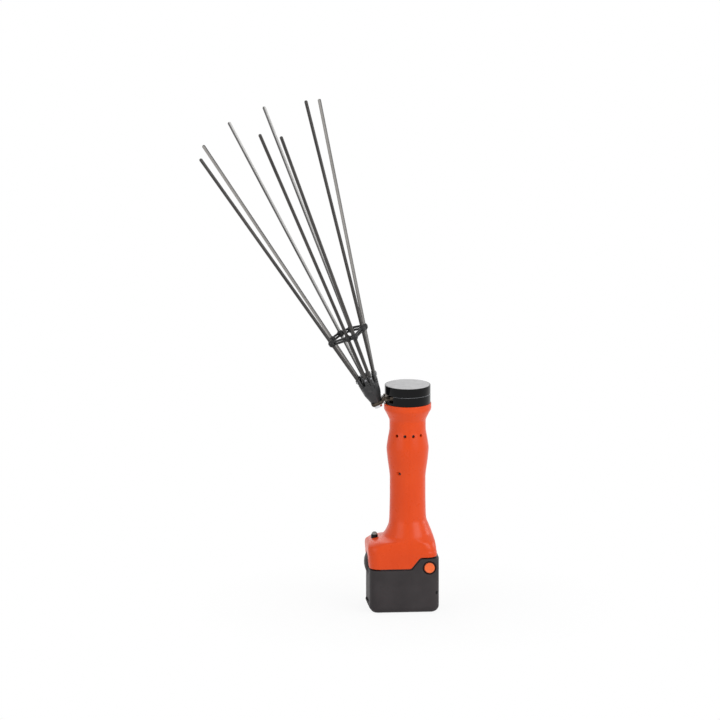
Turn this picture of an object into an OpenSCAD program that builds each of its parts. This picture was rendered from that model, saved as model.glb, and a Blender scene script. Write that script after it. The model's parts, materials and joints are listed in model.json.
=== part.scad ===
// Hand-held electric olive harvester: a bottle-shaped grip with a motor, a round drive head,
// a swinging bracket with a fan of eight rods, and a slide-off battery pack as its foot.
// Millimetres. +Z is up along the grip, the origin is on the grip's axis at the pack's bottom face,
// and the rods lean towards -X.

/* [Grip] */
// Radius of the grip at its waist
waist_r = 24.1; // [22.5:0.1:26]
// Radius of the swelling above the hand
bulge_r = 28.5; // [27:0.1:31]
// Radius of the neck under the collar
neck_r = 24.5; // [23.5:0.1:27]
// Radius of the collar that carries the head
collar_r = 32; // [31:0.1:35]
// Height where the flared foot runs into the round grip
grip_foot_z = 121; // [119:0.5:124]
// Height of the widest place of the swelling
bulge_z = 221; // [219:0.5:223]
// Height of the top edge of the collar
collar_z = 284; // [283:0.5:287]
// Wall of the two shells
shell_wall = 2.6; // [2:0.1:3.2]
// Radius of a vent hole
vent_r = 2.05; // [1:0.05:2.2]
// Height of the row of vents
vent_z = 242; // [238:0.5:246]
// Angle between two vents
vent_step = 27; // [20:1:30]
// Height of the screws that join the shells
shell_screw_z = 190; // [180:0.5:193]

/* [Foot] */
// Reach of the foot to the left of the grip's axis
foot_left = 54; // [53:0.5:58]
// Reach of the foot to the right of the grip's axis
foot_right = 37.5; // [36:0.5:40]
// Half of the foot's depth
foot_depth = 38; // [36:0.5:42]
// Corner radius of the foot seen from above
foot_corner = 14; // [12:0.5:18]
// Height of the flat left shoulder
shoulder_z = 98; // [96:0.5:100]
// Height of the parting line on the left
parting_low = 61.2; // [58:0.1:62]
// Height of the parting line on the right
parting_high = 76.6; // [74:0.1:77]
// Where the parting line starts to climb
parting_climb_x = 1.5; // [0.5:0.5:4]
// Where the parting line levels out again
parting_level_x = 14; // [12:0.5:17]
// Gap between the foot and the battery pack
parting_gap = 1.9; // [0.6:0.05:2.2]

/* [Power button] */
// Distance of the power button from the grip's axis
button_x = 45; // [43:0.5:46]
// Radius of the power button
button_r = 3.8; // [3.5:0.05:4.2]
// Height of the top of the power button
button_top = 106; // [104:0.5:108]
// Travel of the power button
button_travel = 2; // [1:0.1:2.4]
// Wall of the bezel round the power button
bezel_wall = 1.8; // [1.6:0.1:2.2]

/* [Head] */
// Radius of the drive head
head_r = 31; // [30:0.1:33]
// Wall of the drive head
head_wall = 3; // [2.5:0.1:3.5]
// Height of the line between the head's ring and its cap
head_line_z = 297.4; // [296.6:0.1:299]
// Height of the top of the head
head_top = 309; // [307.5:0.1:313]
// Floor of the head
head_floor = 2.5; // [2:0.1:2.6]
// Half angle of the window that the arm swings in
window_half = 46; // [42:1:50]
// Width of the rim round the plate on top of the head
top_rim = 1.4; // [1.2:0.1:4]
// Thickness of the plate on top of the head
top_plate_t = 1; // [0.6:0.1:1.4]

/* [Drive] */
// Radius of the motor can
motor_r = 18; // [17:0.1:18.2]
// Length of the motor can
motor_len = 57; // [52:0.5:60]
// Height of the top of the motor can
motor_top = 205; // [203:0.5:207]
// Radius of the motor shaft
motor_shaft_r = 2.5; // [2:0.05:2.8]
// Tooth module of the planetary gears
gear_module = 0.8; // [0.76:0.01:0.82]
// Width of the gears
gear_w = 9; // [8:0.1:10]
// Radius of the output shaft
output_r = 5; // [4.5:0.05:5.5]
// Throw of the crank pin
crank_throw = 4.1; // [3.9:0.05:4.3]
// Radius of the crank pin
crank_pin_r = 2.5; // [2:0.05:2.8]
// Radius of the roller on the crank pin
roller_r = 4; // [3.5:0.05:4.5]
// Distance of the arm's pivot from the crank's axis
pivot_x = 16; // [15.5:0.1:17]
// Radius of the pivot pin
pivot_r = 3; // [2.5:0.05:3.2]
// Play of the roller in the fork, on each side
fork_play = 0.5; // [0.45:0.05:0.7]

/* [Arm and rods] */
// Width of the swing arm and of its bracket
arm_w = 14; // [12:0.5:15]
// Thickness of the swing arm
arm_t = 5.4; // [5:0.1:5.6]
// Tilt of the fan of rods from upright
fan_tilt = 23; // [20:1:26]
// Thickness of the bracket's pad
pad_t = 4.5; // [4:0.1:5.5]
// Radius of the rod carrier at its rim
carrier_r = 13.3; // [12.8:0.1:15]
// Length of the rod carrier without its sockets
carrier_len = 28; // [26:0.5:30]
// Radius of a rod
rod_r = 2.3; // [1.8:0.05:2.35]
// Distance of a rod's tip from the point that the rods aim away from
rod_reach = 460; // [380:1:480]
// Depth of a rod in its socket
rod_seat = 12; // [10:0.5:13]
// Wall of a rod's socket
socket_wall = 1.15; // [0.9:0.05:1.3]
// Distance of the rubber brace along the fan
brace_s = 133; // [120:1:160]
// Radius of an eyelet of the brace
eyelet_r = 4.5; // [3.8:0.1:5]
// Length of an eyelet of the brace
eyelet_len = 8.5; // [6:0.1:10]

/* [Battery pack] */
// Reach of the pack to the left of the grip's axis
pack_left = 54; // [52:0.5:58]
// Reach of the pack to the right of the grip's axis
pack_right = 40; // [38:0.5:44]
// Bottom edge radius of the pack
pack_edge = 9; // [6:0.5:10]
// Wall of the pack
pack_wall = 2.5; // [2:0.1:3]
// Radius of a cell
cell_r = 9.15; // [9:0.05:9.3]
// Room at each end of a cell
cell_room = 3; // [2.5:0.1:5]
// Distance of the release buttons from the grip's axis
release_x = 26.5; // [25:0.5:28]
// Height of the release buttons
release_z = 62.6; // [62:0.1:64.5]
// Radius of a release button
release_r = 6.9; // [6:0.1:7.6]
// Travel of a release button
release_travel = 3; // [2:0.1:3.2]
// Radius of the charge light
light_r = 2.3; // [1.5:0.05:2.5]
// Height of the charge light
light_z = 27.5; // [26:0.5:34]
// Width of the raised tongue and of the finger lip on the pack's left face
tongue_w = 34; // [26:1:40]

/* [Hidden] */
$fn = 64;
// Room between two pieces of one body, and between two bodies
fit = 0.1;
clear = 0.3;
// Radial play of a shaft in its bearing
run = 0.05;
// Overrun of a cut past the face that it leaves
over = 1;

// Smoothness of the shell sections: steps in a corner's arc, and rings between two key sections
arc_steps = 8;
ring_steps = 2;
// Key sections of the shells: [height, left, right, half depth, corner radius]
bulge_lead = (bulge_r + waist_r) / 2;
neck_lead = (bulge_r + neck_r) / 2;
collar_lead = (collar_r + neck_r) / 2;
foot_r = waist_r + 1.2;
waist_run = 32;
sections = [
    [parting_low, foot_left, foot_right, foot_depth, foot_corner],
    [shoulder_z - 20, foot_left + 1.4, foot_right, foot_depth, foot_corner],
    [shoulder_z - 10, foot_left + 2, foot_right - 0.8, foot_depth - 0.6, foot_corner + 1.5],
    [shoulder_z - 4, foot_left - 0.1, foot_right - 1.7, foot_depth - 1.6, foot_corner + 4],
    [shoulder_z - 1.2, foot_left - 2.7, foot_right - 2.3, foot_depth - 2.2, foot_corner + 6.5],
    [shoulder_z + 0.5, foot_left - 5.8, foot_right - 2.8, foot_depth - 2.7, foot_corner + 9],
    [shoulder_z + 2.5, foot_left - 17, foot_right - 3.4, foot_depth - 3.4, foot_corner + 12],
    [shoulder_z + 6, foot_r + 6.7, foot_r + 7.6, foot_r + 7.8, foot_r + 4.7],
    [shoulder_z + 11, foot_r + 3.1, foot_r + 5.7, foot_r + 5.6, foot_r + 3.1],
    [grip_foot_z - 5, foot_r + 0.5, foot_r + 2.9, foot_r + 2.4, foot_r + 0.5],
    [grip_foot_z + 2, foot_r - 0.4, foot_r + 0.2, foot_r, foot_r - 0.4],
    round_section(grip_foot_z + 12, waist_r + 0.5),
    round_section(shell_screw_z - waist_run, waist_r),
    round_section(shell_screw_z - 8, waist_r),
    round_section(bulge_z - 15, bulge_lead + 0.8),
    round_section(bulge_z, bulge_r),
    round_section(bulge_z + 5, bulge_r - 0.4),
    round_section(bulge_z + 15, neck_lead),
    round_section(bulge_z + 27, neck_r),
    round_section(collar_z - 24, neck_r),
    round_section(collar_z - 15, collar_lead),
    round_section(collar_z - 9, collar_r - 0.5),
    round_section(collar_z - 7, collar_r),
    round_section(collar_z, collar_r)];
function round_section(z, r) = [z, r, r, r, r];

// Pivot heights inside the head
floor_top = collar_z + head_floor;
arm_top = head_line_z - 4.4;
arm_low = arm_top - arm_t;
lap_z = arm_top - arm_t / 2;
crank_disc_r = pivot_x - pivot_r - 4;
crank_disc_low = collar_z - 1;
crank_disc_top = arm_low - 2 * clear;
crank_well_r = crank_disc_r + 2 * clear;
fork_half = roller_r + fork_play + 4;
fork_slot_half = roller_r + fork_play;
hub_r = 8;
bush_r = pivot_r + 1.5;
cap_wall = 3;
top_plate_r = head_r - top_rim;
cap_low = head_line_z;
cap_screw_r = 1.5;
cap_screw_pcr = head_r - head_wall - 3.5;
cap_screw_angles = [0, 78, -78];
nose_screw_r = 1.5;
nose_screw_pcr = 20;
nose_screw_angles = [45, 135, 225, 315];
plate_screw_r = 1.5;
plate_screw_pcr = 12;
plate_screw_angles = [90, 270];

// Gear train: fifteen teeth on the sun and on each planet, forty-five inside the ring
sun_teeth = 15;
planet_teeth = 15;
ring_teeth = sun_teeth + 2 * planet_teeth;
planet_angles = [0, 120, 240];
pressure = 25;
tooth_play = 0.1;
planet_pcr = gear_module * (sun_teeth + planet_teeth) / 2;
planet_pin_r = 2;
ring_pitch_r = gear_module * ring_teeth / 2;
ring_out_r = ring_pitch_r + 4;
motor_plate_t = 3;
gear_low = motor_top + motor_plate_t + 1;
gear_top = gear_low + gear_w;
carrier_disc_t = 4;
carrier_disc_low = gear_top + clear;
carrier_disc_r = planet_pcr + planet_pin_r + 2.2;
nose_low = carrier_disc_low + carrier_disc_t + 1;
nose_flange_t = 4;
nose_top = collar_z - 5;
bearing_r = output_r + 6;
bearing_w = 7;
nose_tube_r = bearing_r + 2.2;
nose_head_r = nose_screw_pcr + 4;

// Motor
motor_low = motor_top - motor_len;
motor_wall = 1.2;
end_cap_t = 6;
core_r = 12.4;
magnet_r = motor_r - motor_wall - fit;
magnet_t = 3.2;
mount_w = 8;
mount_low = 4;
mount_high = 22;

// Foot furniture
deck_z = 82;
deck_t = 3;
board_w = 26;
board_h = 34;
board_t = 1.6;
board_slot = 1.5;
switch_w = 10;
switch_top = shoulder_z - 9.5;
bezel_r = button_r + bezel_wall;
bezel_low = switch_top + 2.2;
bezel_step = bezel_low + button_travel + 2.7;
collar_wall = 0.8;
button_flange = 0.6;
button_flange_t = 1.2;
button_low = bezel_low + clear + button_travel;
contact_xs = [-30, -18];
contact_w = 6;
contact_t = 0.8;

// The bracket hangs beside the wider of the head and the collar
side_r = max(head_r, collar_r - 1);

// Fan of rods: the point that the rods aim away from, and the fan's three directions
aim_drop = 36;
aim_point = [1 - side_r, 0, arm_top - aim_drop];
fan_n = [-sin(fan_tilt), 0, cos(fan_tilt)];
fan_u = [cos(fan_tilt), 0, sin(fan_tilt)];
fan_v = [0, -1, 0];
pad_s = 31.5;
pad_left = 8;
carrier_low_r = 7.2;
rim_s = pad_s + carrier_len;
socket_pcr = carrier_r - rod_r - 0.05;
socket_out_r = rod_r + socket_wall;
socket_above = 8;
// Aim of each rod, from the front going right: [angle round the fan, splay from its axis]
rod_aims = [[1, 8.5], [15, 13], [95, 9.5], [88, 11.7], [162, 8], [207, 8.8], [266, 9.5], [296, 12]];
// Place of each rod's socket round the rim, from the front going right
rod_ring = [-7.5, 22, 66.5, 112, 156, 191.5, 229, 301];
rod_count = len(rod_aims);
function fan_point(s, around, r) = aim_point + s * fan_n + r * (cos(around) * fan_v + sin(around) * fan_u);
function rod_mouth(i) = fan_point(rim_s, rod_ring[i], socket_pcr);
function rod_tip(i) = fan_point(rod_reach * cos(rod_aims[i][1]), rod_aims[i][0], rod_reach * sin(rod_aims[i][1]));
function rod_dir(i) = unit(rod_tip(i) - rod_mouth(i));
function rod_at(i, s) = rod_mouth(i) + rod_dir(i) * (s - rim_s) / (rod_dir(i) * fan_n);
function unit(v) = v / norm(v);

// Bracket bolt
arm_bolt_x = 2.6 - side_r;
arm_bolt_r = 2.5;
arm_nut_r = 5.2;
arm_nut_h = 3.6;
lap_left = -side_r - 0.8;
lap_right = 6.4 - side_r;
leg_right = -side_r - 1.2;
leg_left = leg_right - 3.1;
carrier_bolt_r = 3;
carrier_bolt_head_r = 5.4;
carrier_bolt_head_h = 4;

// Battery pack
pack_depth = foot_depth;
pack_corner = foot_corner - 2;
// The pack's climb is moved across as well as down, so that the gap stays as wide there
parting_shift = 0.45 * parting_gap;
pack_low_top = parting_low - parting_gap;
pack_high_top = parting_high - parting_gap;
lid_t = 2.5;
cell_len = 2 * (pack_depth - pack_wall - cell_room);
cell_pitch = 2 * cell_r + 0.5;
cell_columns = 4;
cell_layers = 2;
cell_x0 = (pack_right - pack_left) / 2 - cell_pitch * (cell_columns - 1) / 2;
cell_z0 = pack_wall + cell_r + 1.5;
holder_t = 8;
holder_low = pack_wall + 1.2;
rib_y = cell_len / 2 - 1 - holder_t / 2;
strap_t = 0.5;
tower_x = [-36, -12];
tower_half = 13;
tower_top = deck_z - 4;
contact_top = tower_top - 3;
light_set = 0.6;
release_proud = 1.2;
release_ring_r = release_r + 2.5;
release_ring_d = 1;
release_plate_t = 2;
release_plate_half = release_r + 0.7;
release_plate_x = [release_x - release_r - 2.2, release_x + 2];
release_stem_r = 3;
release_stem_len = 10;
hook_x = [release_x - 9, release_x - 2];
hook_t = 2.1;
hook_y = pack_depth - pack_wall - 4 * clear;
hook_low = release_z + release_stem_r + 2.5;
hook_top = parting_high + 5;
latch_wall_t = 2;
latch_wall_in = 9;
latch_wall_y = pack_depth - pack_wall - release_plate_t - latch_wall_in;
spring_wire_r = 0.45;
spring_r = release_stem_r + clear + 2 * spring_wire_r;
spring_len = latch_wall_in - clear - fit;
spring_turns = 5;

// Places a child that stands along +Z at a point, pointing along a direction
module along(point, dir) {
    tilt = acos(dir[2] / norm(dir));
    turn = atan2(dir[1], dir[0]);
    translate(point)
        rotate([0, tilt, turn])
            children();
}

// Round bar between two points
module bar(a, b, r) {
    along(a, b - a)
        cylinder(r = r, h = norm(b - a), $fn = 32);
}

// Ring with a rectangular section
module washer(r_in, r_out, low, h) {
    translate([0, 0, low])
        difference() {
            cylinder(r = r_out, h = h);
            translate([0, 0, -over])
                cylinder(r = r_in, h = h + 2 * over);
        }
}

// Outline in the XZ plane, drawn out over a depth that is centred on Y = 0
module slab(points, depth) {
    translate([0, depth / 2, 0])
        rotate([90, 0, 0])
            linear_extrude(depth)
                polygon(points);
}

// Outline in the YZ plane, drawn out from one X to another
module side_slab(points, x0, x1) {
    translate([x0, 0, 0])
        rotate([90, 0, 90])
            linear_extrude(x1 - x0)
                polygon(points);
}

// Box from its lowest to its highest corner
module box(low, high) {
    translate(low)
        cube(high - low);
}

// Copies a child at places on a circle
module spread(angles, r) {
    for (a = angles)
        rotate(a)
            translate([r, 0, 0])
                children();
}

// Mirrored pair across the XZ plane
module front_and_rear() {
    children();
    mirror([0, 1, 0])
        children();
}

// Pan-head screw that hangs down from the origin, its head above
module pan_screw(r, length, head_r, head_h) {
    translate([0, 0, -length])
        cylinder(r = r, h = length + fit, $fn = 24);
    difference() {
        cylinder(r = head_r, h = head_h, $fn = 32);
        for (turn = [0, 90])
            rotate(turn)
                translate([-head_r * 0.6, -0.35, head_h * 0.5])
                    cube([head_r * 1.2, 0.7, head_h]);
    }
}

// Smooth run of a key value between two sections, with the slopes of their neighbours
function slope(keys, i, k) =
    let (a = keys[max(i - 1, 0)], b = keys[min(i + 1, len(keys) - 1)]) (b[k] - a[k]) / (b[0] - a[0]);
function eased(keys, i, k, t) =
    let (h = keys[i + 1][0] - keys[i][0], p = keys[i][k], q = keys[i + 1][k],
        m = slope(keys, i, k) * h, n = slope(keys, i + 1, k) * h)
    p == q ? p : p + t * m + t * t * (3 * (q - p) - 2 * m - n) + t * t * t * (2 * (p - q) + m + n);
function section_between(i, t) = [for (k = [0:4]) k == 0 ?
    sections[i][0] + t * (sections[i + 1][0] - sections[i][0]) : eased(sections, i, k, t)];
shell_rings = concat([for (i = [0:len(sections) - 2], j = [0:ring_steps - 1]) section_between(i, j / ring_steps)],
    [sections[len(sections) - 1]]);

// One quarter of a section as an arc of its corner, from angle a0 over 90 degrees
function corner_arc(side, depth, corner, a0, inset) =
    let (r = min(corner, side - 0.01, depth - 0.01) - inset)
    [for (j = [0:arc_steps]) let (a = a0 + 90 * j / arc_steps)
        [(side - inset - r) * sign(cos(a0 + 45)) + r * cos(a),
            (depth - inset - r) * sign(sin(a0 + 45)) + r * sin(a)]];
// Half of a section, from the front seam over one side to the rear seam; way is 1 to the right, -1 to the left
function half_section(ring, inset, way) =
    let (side = way > 0 ? ring[2] : ring[1],
        right = concat([[0, inset - ring[3]]], corner_arc(side, ring[3], ring[4], -90, inset),
            corner_arc(side, ring[3], ring[4], 0, inset), [[0, ring[3] - inset]]))
    [for (p = right) [way * p[0], p[1]]];
function flipped(list) = [for (i = [len(list) - 1:-1:0]) list[i]];
// Below the grip the inner surface lies lower by one wall, so that the flat shoulder keeps its thickness
function inner_drop(z) = z > parting_low && z < grip_foot_z ? shell_wall : 0;
function shell_ring(ring, way) = concat(
    [for (p = half_section(ring, 0, way)) [p[0], p[1], ring[0]]],
    flipped([for (p = half_section(ring, shell_wall, way)) [p[0], p[1], ring[0] - inner_drop(ring[0])]]));

// Closed half shell: the rings joined side by side, and its two ends closed across the wall
module half_shell(way) {
    rings = [for (r = shell_rings) shell_ring(r, way)];
    m = len(rings[0]);
    n = len(rings);
    half = m / 2;
    walls = [for (k = [0:n - 2], j = [0:m - 1])
        let (a = k * m + j, b = k * m + (j + 1) % m) each [[a, a + m, b + m], [a, b + m, b]]];
    ends = [for (k = [0, n - 1], j = [0:half - 2])
        let (a = k * m + j, c = k * m + m - 1 - j)
        each (k == 0 ? [[a, a + 1, c - 1], [a, c - 1, c]] : [[a, c - 1, a + 1], [a, c, c - 1]])];
    faces = concat(walls, ends);
    polyhedron([for (r = rings) each r], way > 0 ? faces : [for (f = faces) flipped(f)]);
}

module vents(way) {
    for (side = [0, 180], k = [0.5, 1.5])
        translate([0, 0, vent_z])
            rotate([90, 0, side + (side > 0 ? -1 : 1) * way * k * vent_step])
                translate([0, 0, neck_r / 2])
                    cylinder(r = vent_r, h = bulge_r, $fn = 24);
}

// The shells' screws lie along X, close inside the front and the rear of the grip
screw_y = waist_r - 4;
screw_r = 1.4;
screw_head_r = 2.2;
screw_face = sqrt(pow(waist_r, 2) - pow(screw_y, 2));
screw_seat = screw_face - 2.4;
module shell_screw_holes() {
    front_and_rear()
        translate([0, -screw_y, shell_screw_z])
            rotate([0, -90, 0]) {
                cylinder(r = screw_r + fit, h = bulge_r, $fn = 24);
                translate([0, 0, screw_seat])
                    cylinder(r = screw_head_r + fit, h = bulge_r, $fn = 24);
            }
}

module shell_left() {
    color([0.89, 0.33, 0.17])
        difference() {
            half_shell(-1);
            vents(-1);
            shell_screw_holes();
            translate([-button_x, 0, deck_z + deck_t])
                cylinder(r = bezel_r + fit, h = bezel_step + fit - deck_z - deck_t);
            translate([-button_x, 0, bezel_step])
                cylinder(r = button_r + collar_wall + fit, h = bulge_r);
            box([-foot_left - 9, -tongue_w / 2 - tongue_gap, parting_low - over],
                [-foot_left + shell_wall + 3, tongue_w / 2 + tongue_gap, tongue_top + tongue_gap]);
        }
}

module shell_right() {
    right = foot_right + 9;
    color([0.89, 0.33, 0.17])
        difference() {
            half_shell(1);
            vents(1);
            slab([[parting_climb_x, parting_low], [parting_level_x, parting_high], [right, parting_high],
                [right, parting_low - over], [parting_climb_x, parting_low - over]], 3 * foot_depth);
            front_and_rear()
                translate([0, -screw_y, shell_screw_z])
                    rotate([0, 90, 0])
                        cylinder(r = screw_r + fit, h = screw_seat, $fn = 24);
        }
}

module shell_screws() {
    color([0.6, 0.6, 0.62])
        front_and_rear()
            translate([-screw_seat, -screw_y, shell_screw_z])
                rotate([0, -90, 0])
                    pan_screw(screw_r, 2 * screw_seat - 2, screw_head_r, 1.6);
}

module window_wedge(r) {
    polygon(concat([[0, 0]], [for (a = [180 - window_half:window_half / 8:180 + window_half])
        [r * cos(a), r * sin(a)]]));
}

module head_ring() {
    inner_r = head_r - head_wall;
    spigot_r = collar_r - shell_wall - clear;
    color([0.13, 0.13, 0.13])
        difference() {
            union() {
                difference() {
                    rotate_extrude($fn = 96)
                        polygon([[crank_well_r, nose_top], [spigot_r, nose_top], [spigot_r, collar_z],
                            [head_r, collar_z], [head_r, head_line_z - 0.5], [head_r - 0.5, head_line_z],
                            [inner_r, head_line_z], [inner_r, floor_top], [crank_well_r, floor_top]]);
                    translate([0, 0, floor_top + 0.5])
                        linear_extrude(head_line_z)
                            window_wedge(2 * head_r);
                }
                translate([-pivot_x, 0, collar_z])
                    cylinder(r = pivot_r + 2.4, h = arm_low - clear - collar_z);
                spread(cap_screw_angles, cap_screw_pcr)
                    translate([0, 0, collar_z])
                        cylinder(r = cap_screw_r + 2.2, h = head_line_z - collar_z);
            }
            translate([-pivot_x, 0, collar_z - 1])
                cylinder(r = pivot_r + fit / 2, h = 3 * arm_t);
            spread(cap_screw_angles, cap_screw_pcr)
                translate([0, 0, collar_z])
                    cylinder(r = cap_screw_r + fit / 2, h = head_top, $fn = 24);
            spread(nose_screw_angles, nose_screw_pcr)
                translate([0, 0, nose_top - over])
                    cylinder(r = nose_screw_r + fit / 2, h = 3 * nose_flange_t, $fn = 24);
            spread(nose_screw_angles, nose_screw_pcr)
                translate([0, 0, floor_top - 2])
                    cylinder(r = 2 * nose_screw_r + fit, h = 2 + over / 2, $fn = 32);
        }
}

module head_cap() {
    inner_r = head_r - head_wall;
    plate_seat = head_top - top_plate_t + 0.2;
    color([0.13, 0.13, 0.13])
        difference() {
            union() {
                rotate_extrude($fn = 96)
                    polygon([[inner_r, cap_low], [head_r - 0.5, cap_low], [head_r, cap_low + 0.5],
                        [head_r, head_top - 1], [head_r - 0.3, head_top - 0.3], [head_r - 1, head_top],
                        [top_plate_r + fit, head_top], [top_plate_r + fit, plate_seat], [0, plate_seat],
                        [0, plate_seat - cap_wall], [inner_r, plate_seat - cap_wall]]);
                translate([-pivot_x, 0, arm_top + 1])
                    cylinder(r = pivot_r + 2.4, h = plate_seat - arm_top - 2);
                spread(cap_screw_angles, cap_screw_pcr)
                    translate([0, 0, cap_low])
                        cylinder(r = cap_screw_r + 2.2, h = plate_seat - cap_low - 1);
            }
            translate([-pivot_x, 0, arm_top - over])
                cylinder(r = pivot_r + fit / 2, h = plate_seat - arm_top - 1);
            spread(cap_screw_angles, cap_screw_pcr)
                translate([0, 0, cap_low - over])
                    cylinder(r = cap_screw_r + fit / 2, h = head_top, $fn = 24);
            spread(cap_screw_angles, cap_screw_pcr)
                translate([0, 0, plate_seat - 2])
                    cylinder(r = 2 * cap_screw_r + fit, h = 2 + over / 2, $fn = 32);
        }
}

module top_plate() {
    color([0.74, 0.74, 0.74])
        translate([0, 0, head_top - top_plate_t + 0.2])
            cylinder(r = top_plate_r, h = top_plate_t, $fn = 96);
}

module cap_screws() {
    seat = head_top - top_plate_t + 0.2 - 2;
    color([0.6, 0.6, 0.62])
        spread(cap_screw_angles, cap_screw_pcr)
            translate([0, 0, seat])
                pan_screw(cap_screw_r, seat - collar_z - 1, 2 * cap_screw_r, 1.8);
}

// Short screws of the gearbox: four in the head's floor, and two sunk in the motor plate
module gearbox_screws() {
    color([0.6, 0.6, 0.62]) {
        spread(nose_screw_angles, nose_screw_pcr)
            translate([0, 0, floor_top - 2])
                pan_screw(nose_screw_r, floor_top - 2 - nose_top + nose_flange_t - 1, 2 * nose_screw_r, 1.8);
        spread(plate_screw_angles, plate_screw_pcr)
            translate([0, 0, motor_top - motor_wall + fit])
                cylinder(r = plate_screw_r, h = motor_plate_t + motor_wall - fit, $fn = 24);
    }
}

module pivot_pin() {
    color([0.75, 0.75, 0.77])
        translate([-pivot_x, 0, collar_z - 1 + fit])
            cylinder(r = pivot_r, h = head_top - top_plate_t - 2 - collar_z);
}

module motor_can() {
    color([0.7, 0.71, 0.73])
        difference() {
            rotate_extrude($fn = 96)
                polygon([[motor_r - motor_wall, motor_low], [motor_r, motor_low], [motor_r, motor_top],
                    [motor_shaft_r + run, motor_top], [motor_shaft_r + run, motor_top - 5],
                    [motor_shaft_r + 3, motor_top - 5], [motor_shaft_r + 3, motor_top - motor_wall],
                    [motor_r - motor_wall, motor_top - motor_wall]]);
            spread(plate_screw_angles, plate_screw_pcr)
                translate([0, 0, motor_top - motor_wall - over])
                    cylinder(r = plate_screw_r + fit / 2, h = motor_wall + 2 * over, $fn = 24);
        }
}

module motor_magnets() {
    color([0.25, 0.25, 0.27])
        for (turn = [0, 180])
            rotate(turn)
                intersection() {
                    washer(magnet_r - magnet_t, magnet_r, motor_low + 12, motor_len - 22);
                    box([0, -0.8 * magnet_r, motor_low], [motor_r, 0.8 * magnet_r, motor_top]);
                }
}

module motor_end_cap() {
    plug_r = motor_r - motor_wall - fit;
    color([0.12, 0.12, 0.13])
        rotate_extrude($fn = 96)
            polygon([[motor_shaft_r + run, motor_low - end_cap_t], [motor_r, motor_low - end_cap_t],
                [motor_r, motor_low], [plug_r, motor_low], [plug_r, motor_low + 3],
                [motor_shaft_r + 4, motor_low + 3], [motor_shaft_r + run, motor_low + 3]]);
}

module motor_mounts() {
    color([0.1, 0.1, 0.1])
        for (z = [motor_low + mount_low, motor_top - mount_w - mount_high])
            washer(motor_r + fit / 2, waist_r - shell_wall - clear, z, mount_w);
}

module motor_plate() {
    color([0.78, 0.79, 0.8])
        difference() {
            washer(motor_shaft_r + 4.5, ring_out_r, motor_top, motor_plate_t);
            spread(plate_screw_angles, plate_screw_pcr)
                translate([0, 0, motor_top - over])
                    cylinder(r = plate_screw_r + fit / 2, h = motor_plate_t + 2 * over, $fn = 24);
        }
}

// Half the angle of an involute tooth at radius r, in degrees
function involute(a) = tan(a) * 180 / PI - a;
function tooth_half(teeth, r, thinner) =
    let (pitch_r = gear_module * teeth / 2, base_r = pitch_r * cos(pressure))
    90 / teeth - thinner / 2 / pitch_r * 180 / PI + involute(pressure) - involute(acos(min(1, base_r / r)));
function polar(r, a) = [r * cos(a), r * sin(a)];
// Outline of a toothed wheel between its root and its tip radius, with a tooth on the X axis
function gear_outline(teeth, root_r, tip_r, thinner) =
    let (base_r = gear_module * teeth / 2 * cos(pressure), low_r = max(base_r, root_r),
        flank = [for (k = [0:4]) low_r + (tip_r - low_r) * k / 4])
    [for (i = [0:teeth - 1]) let (mid = 360 / teeth * i) each concat(
        root_r < base_r ? [polar(root_r, mid - tooth_half(teeth, base_r, thinner))] : [],
        [for (r = flank) polar(r, mid - tooth_half(teeth, r, thinner))],
        [for (r = flipped(flank)) polar(r, mid + tooth_half(teeth, r, thinner))],
        root_r < base_r ? [polar(root_r, mid + tooth_half(teeth, base_r, thinner))] : [])];

tip_add = 0.9 * gear_module;
root_ded = 1.15 * gear_module;

module pinion(teeth, bore_r, low, w) {
    pitch_r = gear_module * teeth / 2;
    translate([0, 0, low])
        difference() {
            linear_extrude(w)
                polygon(gear_outline(teeth, pitch_r - root_ded, pitch_r + tip_add, tooth_play));
            translate([0, 0, -over])
                cylinder(r = bore_r, h = w + 2 * over, $fn = 32);
        }
}

module ring_gear() {
    low = motor_top + motor_plate_t;
    color([0.55, 0.56, 0.58])
        difference() {
            translate([0, 0, low])
                cylinder(r = ring_out_r, h = nose_low - low, $fn = 96);
            translate([0, 0, low - over])
                linear_extrude(nose_low - low + 2 * over)
                    polygon(gear_outline(ring_teeth, ring_pitch_r - 0.8 * gear_module,
                        ring_pitch_r + root_ded, -tooth_play));
            translate([0, 0, carrier_disc_low - clear])
                cylinder(r = ring_pitch_r + root_ded + 0.2, h = nose_low, $fn = 96);
        }
}

module bearing_nose() {
    color([0.72, 0.73, 0.75])
        difference() {
            rotate_extrude($fn = 96)
                polygon([[output_r + 3, nose_low], [ring_out_r, nose_low], [ring_out_r, nose_low + nose_flange_t],
                    [nose_tube_r, nose_low + nose_flange_t], [nose_tube_r, nose_top - nose_flange_t],
                    [nose_head_r, nose_top - nose_flange_t], [nose_head_r, nose_top], [bearing_r + fit / 2, nose_top],
                    [bearing_r + fit / 2, nose_top - bearing_w], [output_r + 3, nose_top - bearing_w],
                    [output_r + 3, nose_low + 2 + bearing_w], [bearing_r + fit / 2, nose_low + 2 + bearing_w],
                    [bearing_r + fit / 2, nose_low + 2], [output_r + 3, nose_low + 2]]);
            spread(nose_screw_angles, nose_screw_pcr)
                translate([0, 0, nose_top - nose_flange_t - over])
                    cylinder(r = nose_screw_r + fit / 2, h = nose_flange_t + 2 * over, $fn = 24);
        }
}

module output_bearings() {
    color([0.8, 0.8, 0.82])
        for (low = [nose_low + 2, nose_top - bearing_w])
            washer(output_r + run, bearing_r, low + fit / 2, bearing_w - fit);
}

// Outline of the shells' inside at one of their key heights, drawn in by a margin
function inside_outline(ring, margin) = concat(half_section(ring, shell_wall + margin, 1),
    flipped(half_section(ring, shell_wall + margin, -1)));

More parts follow.
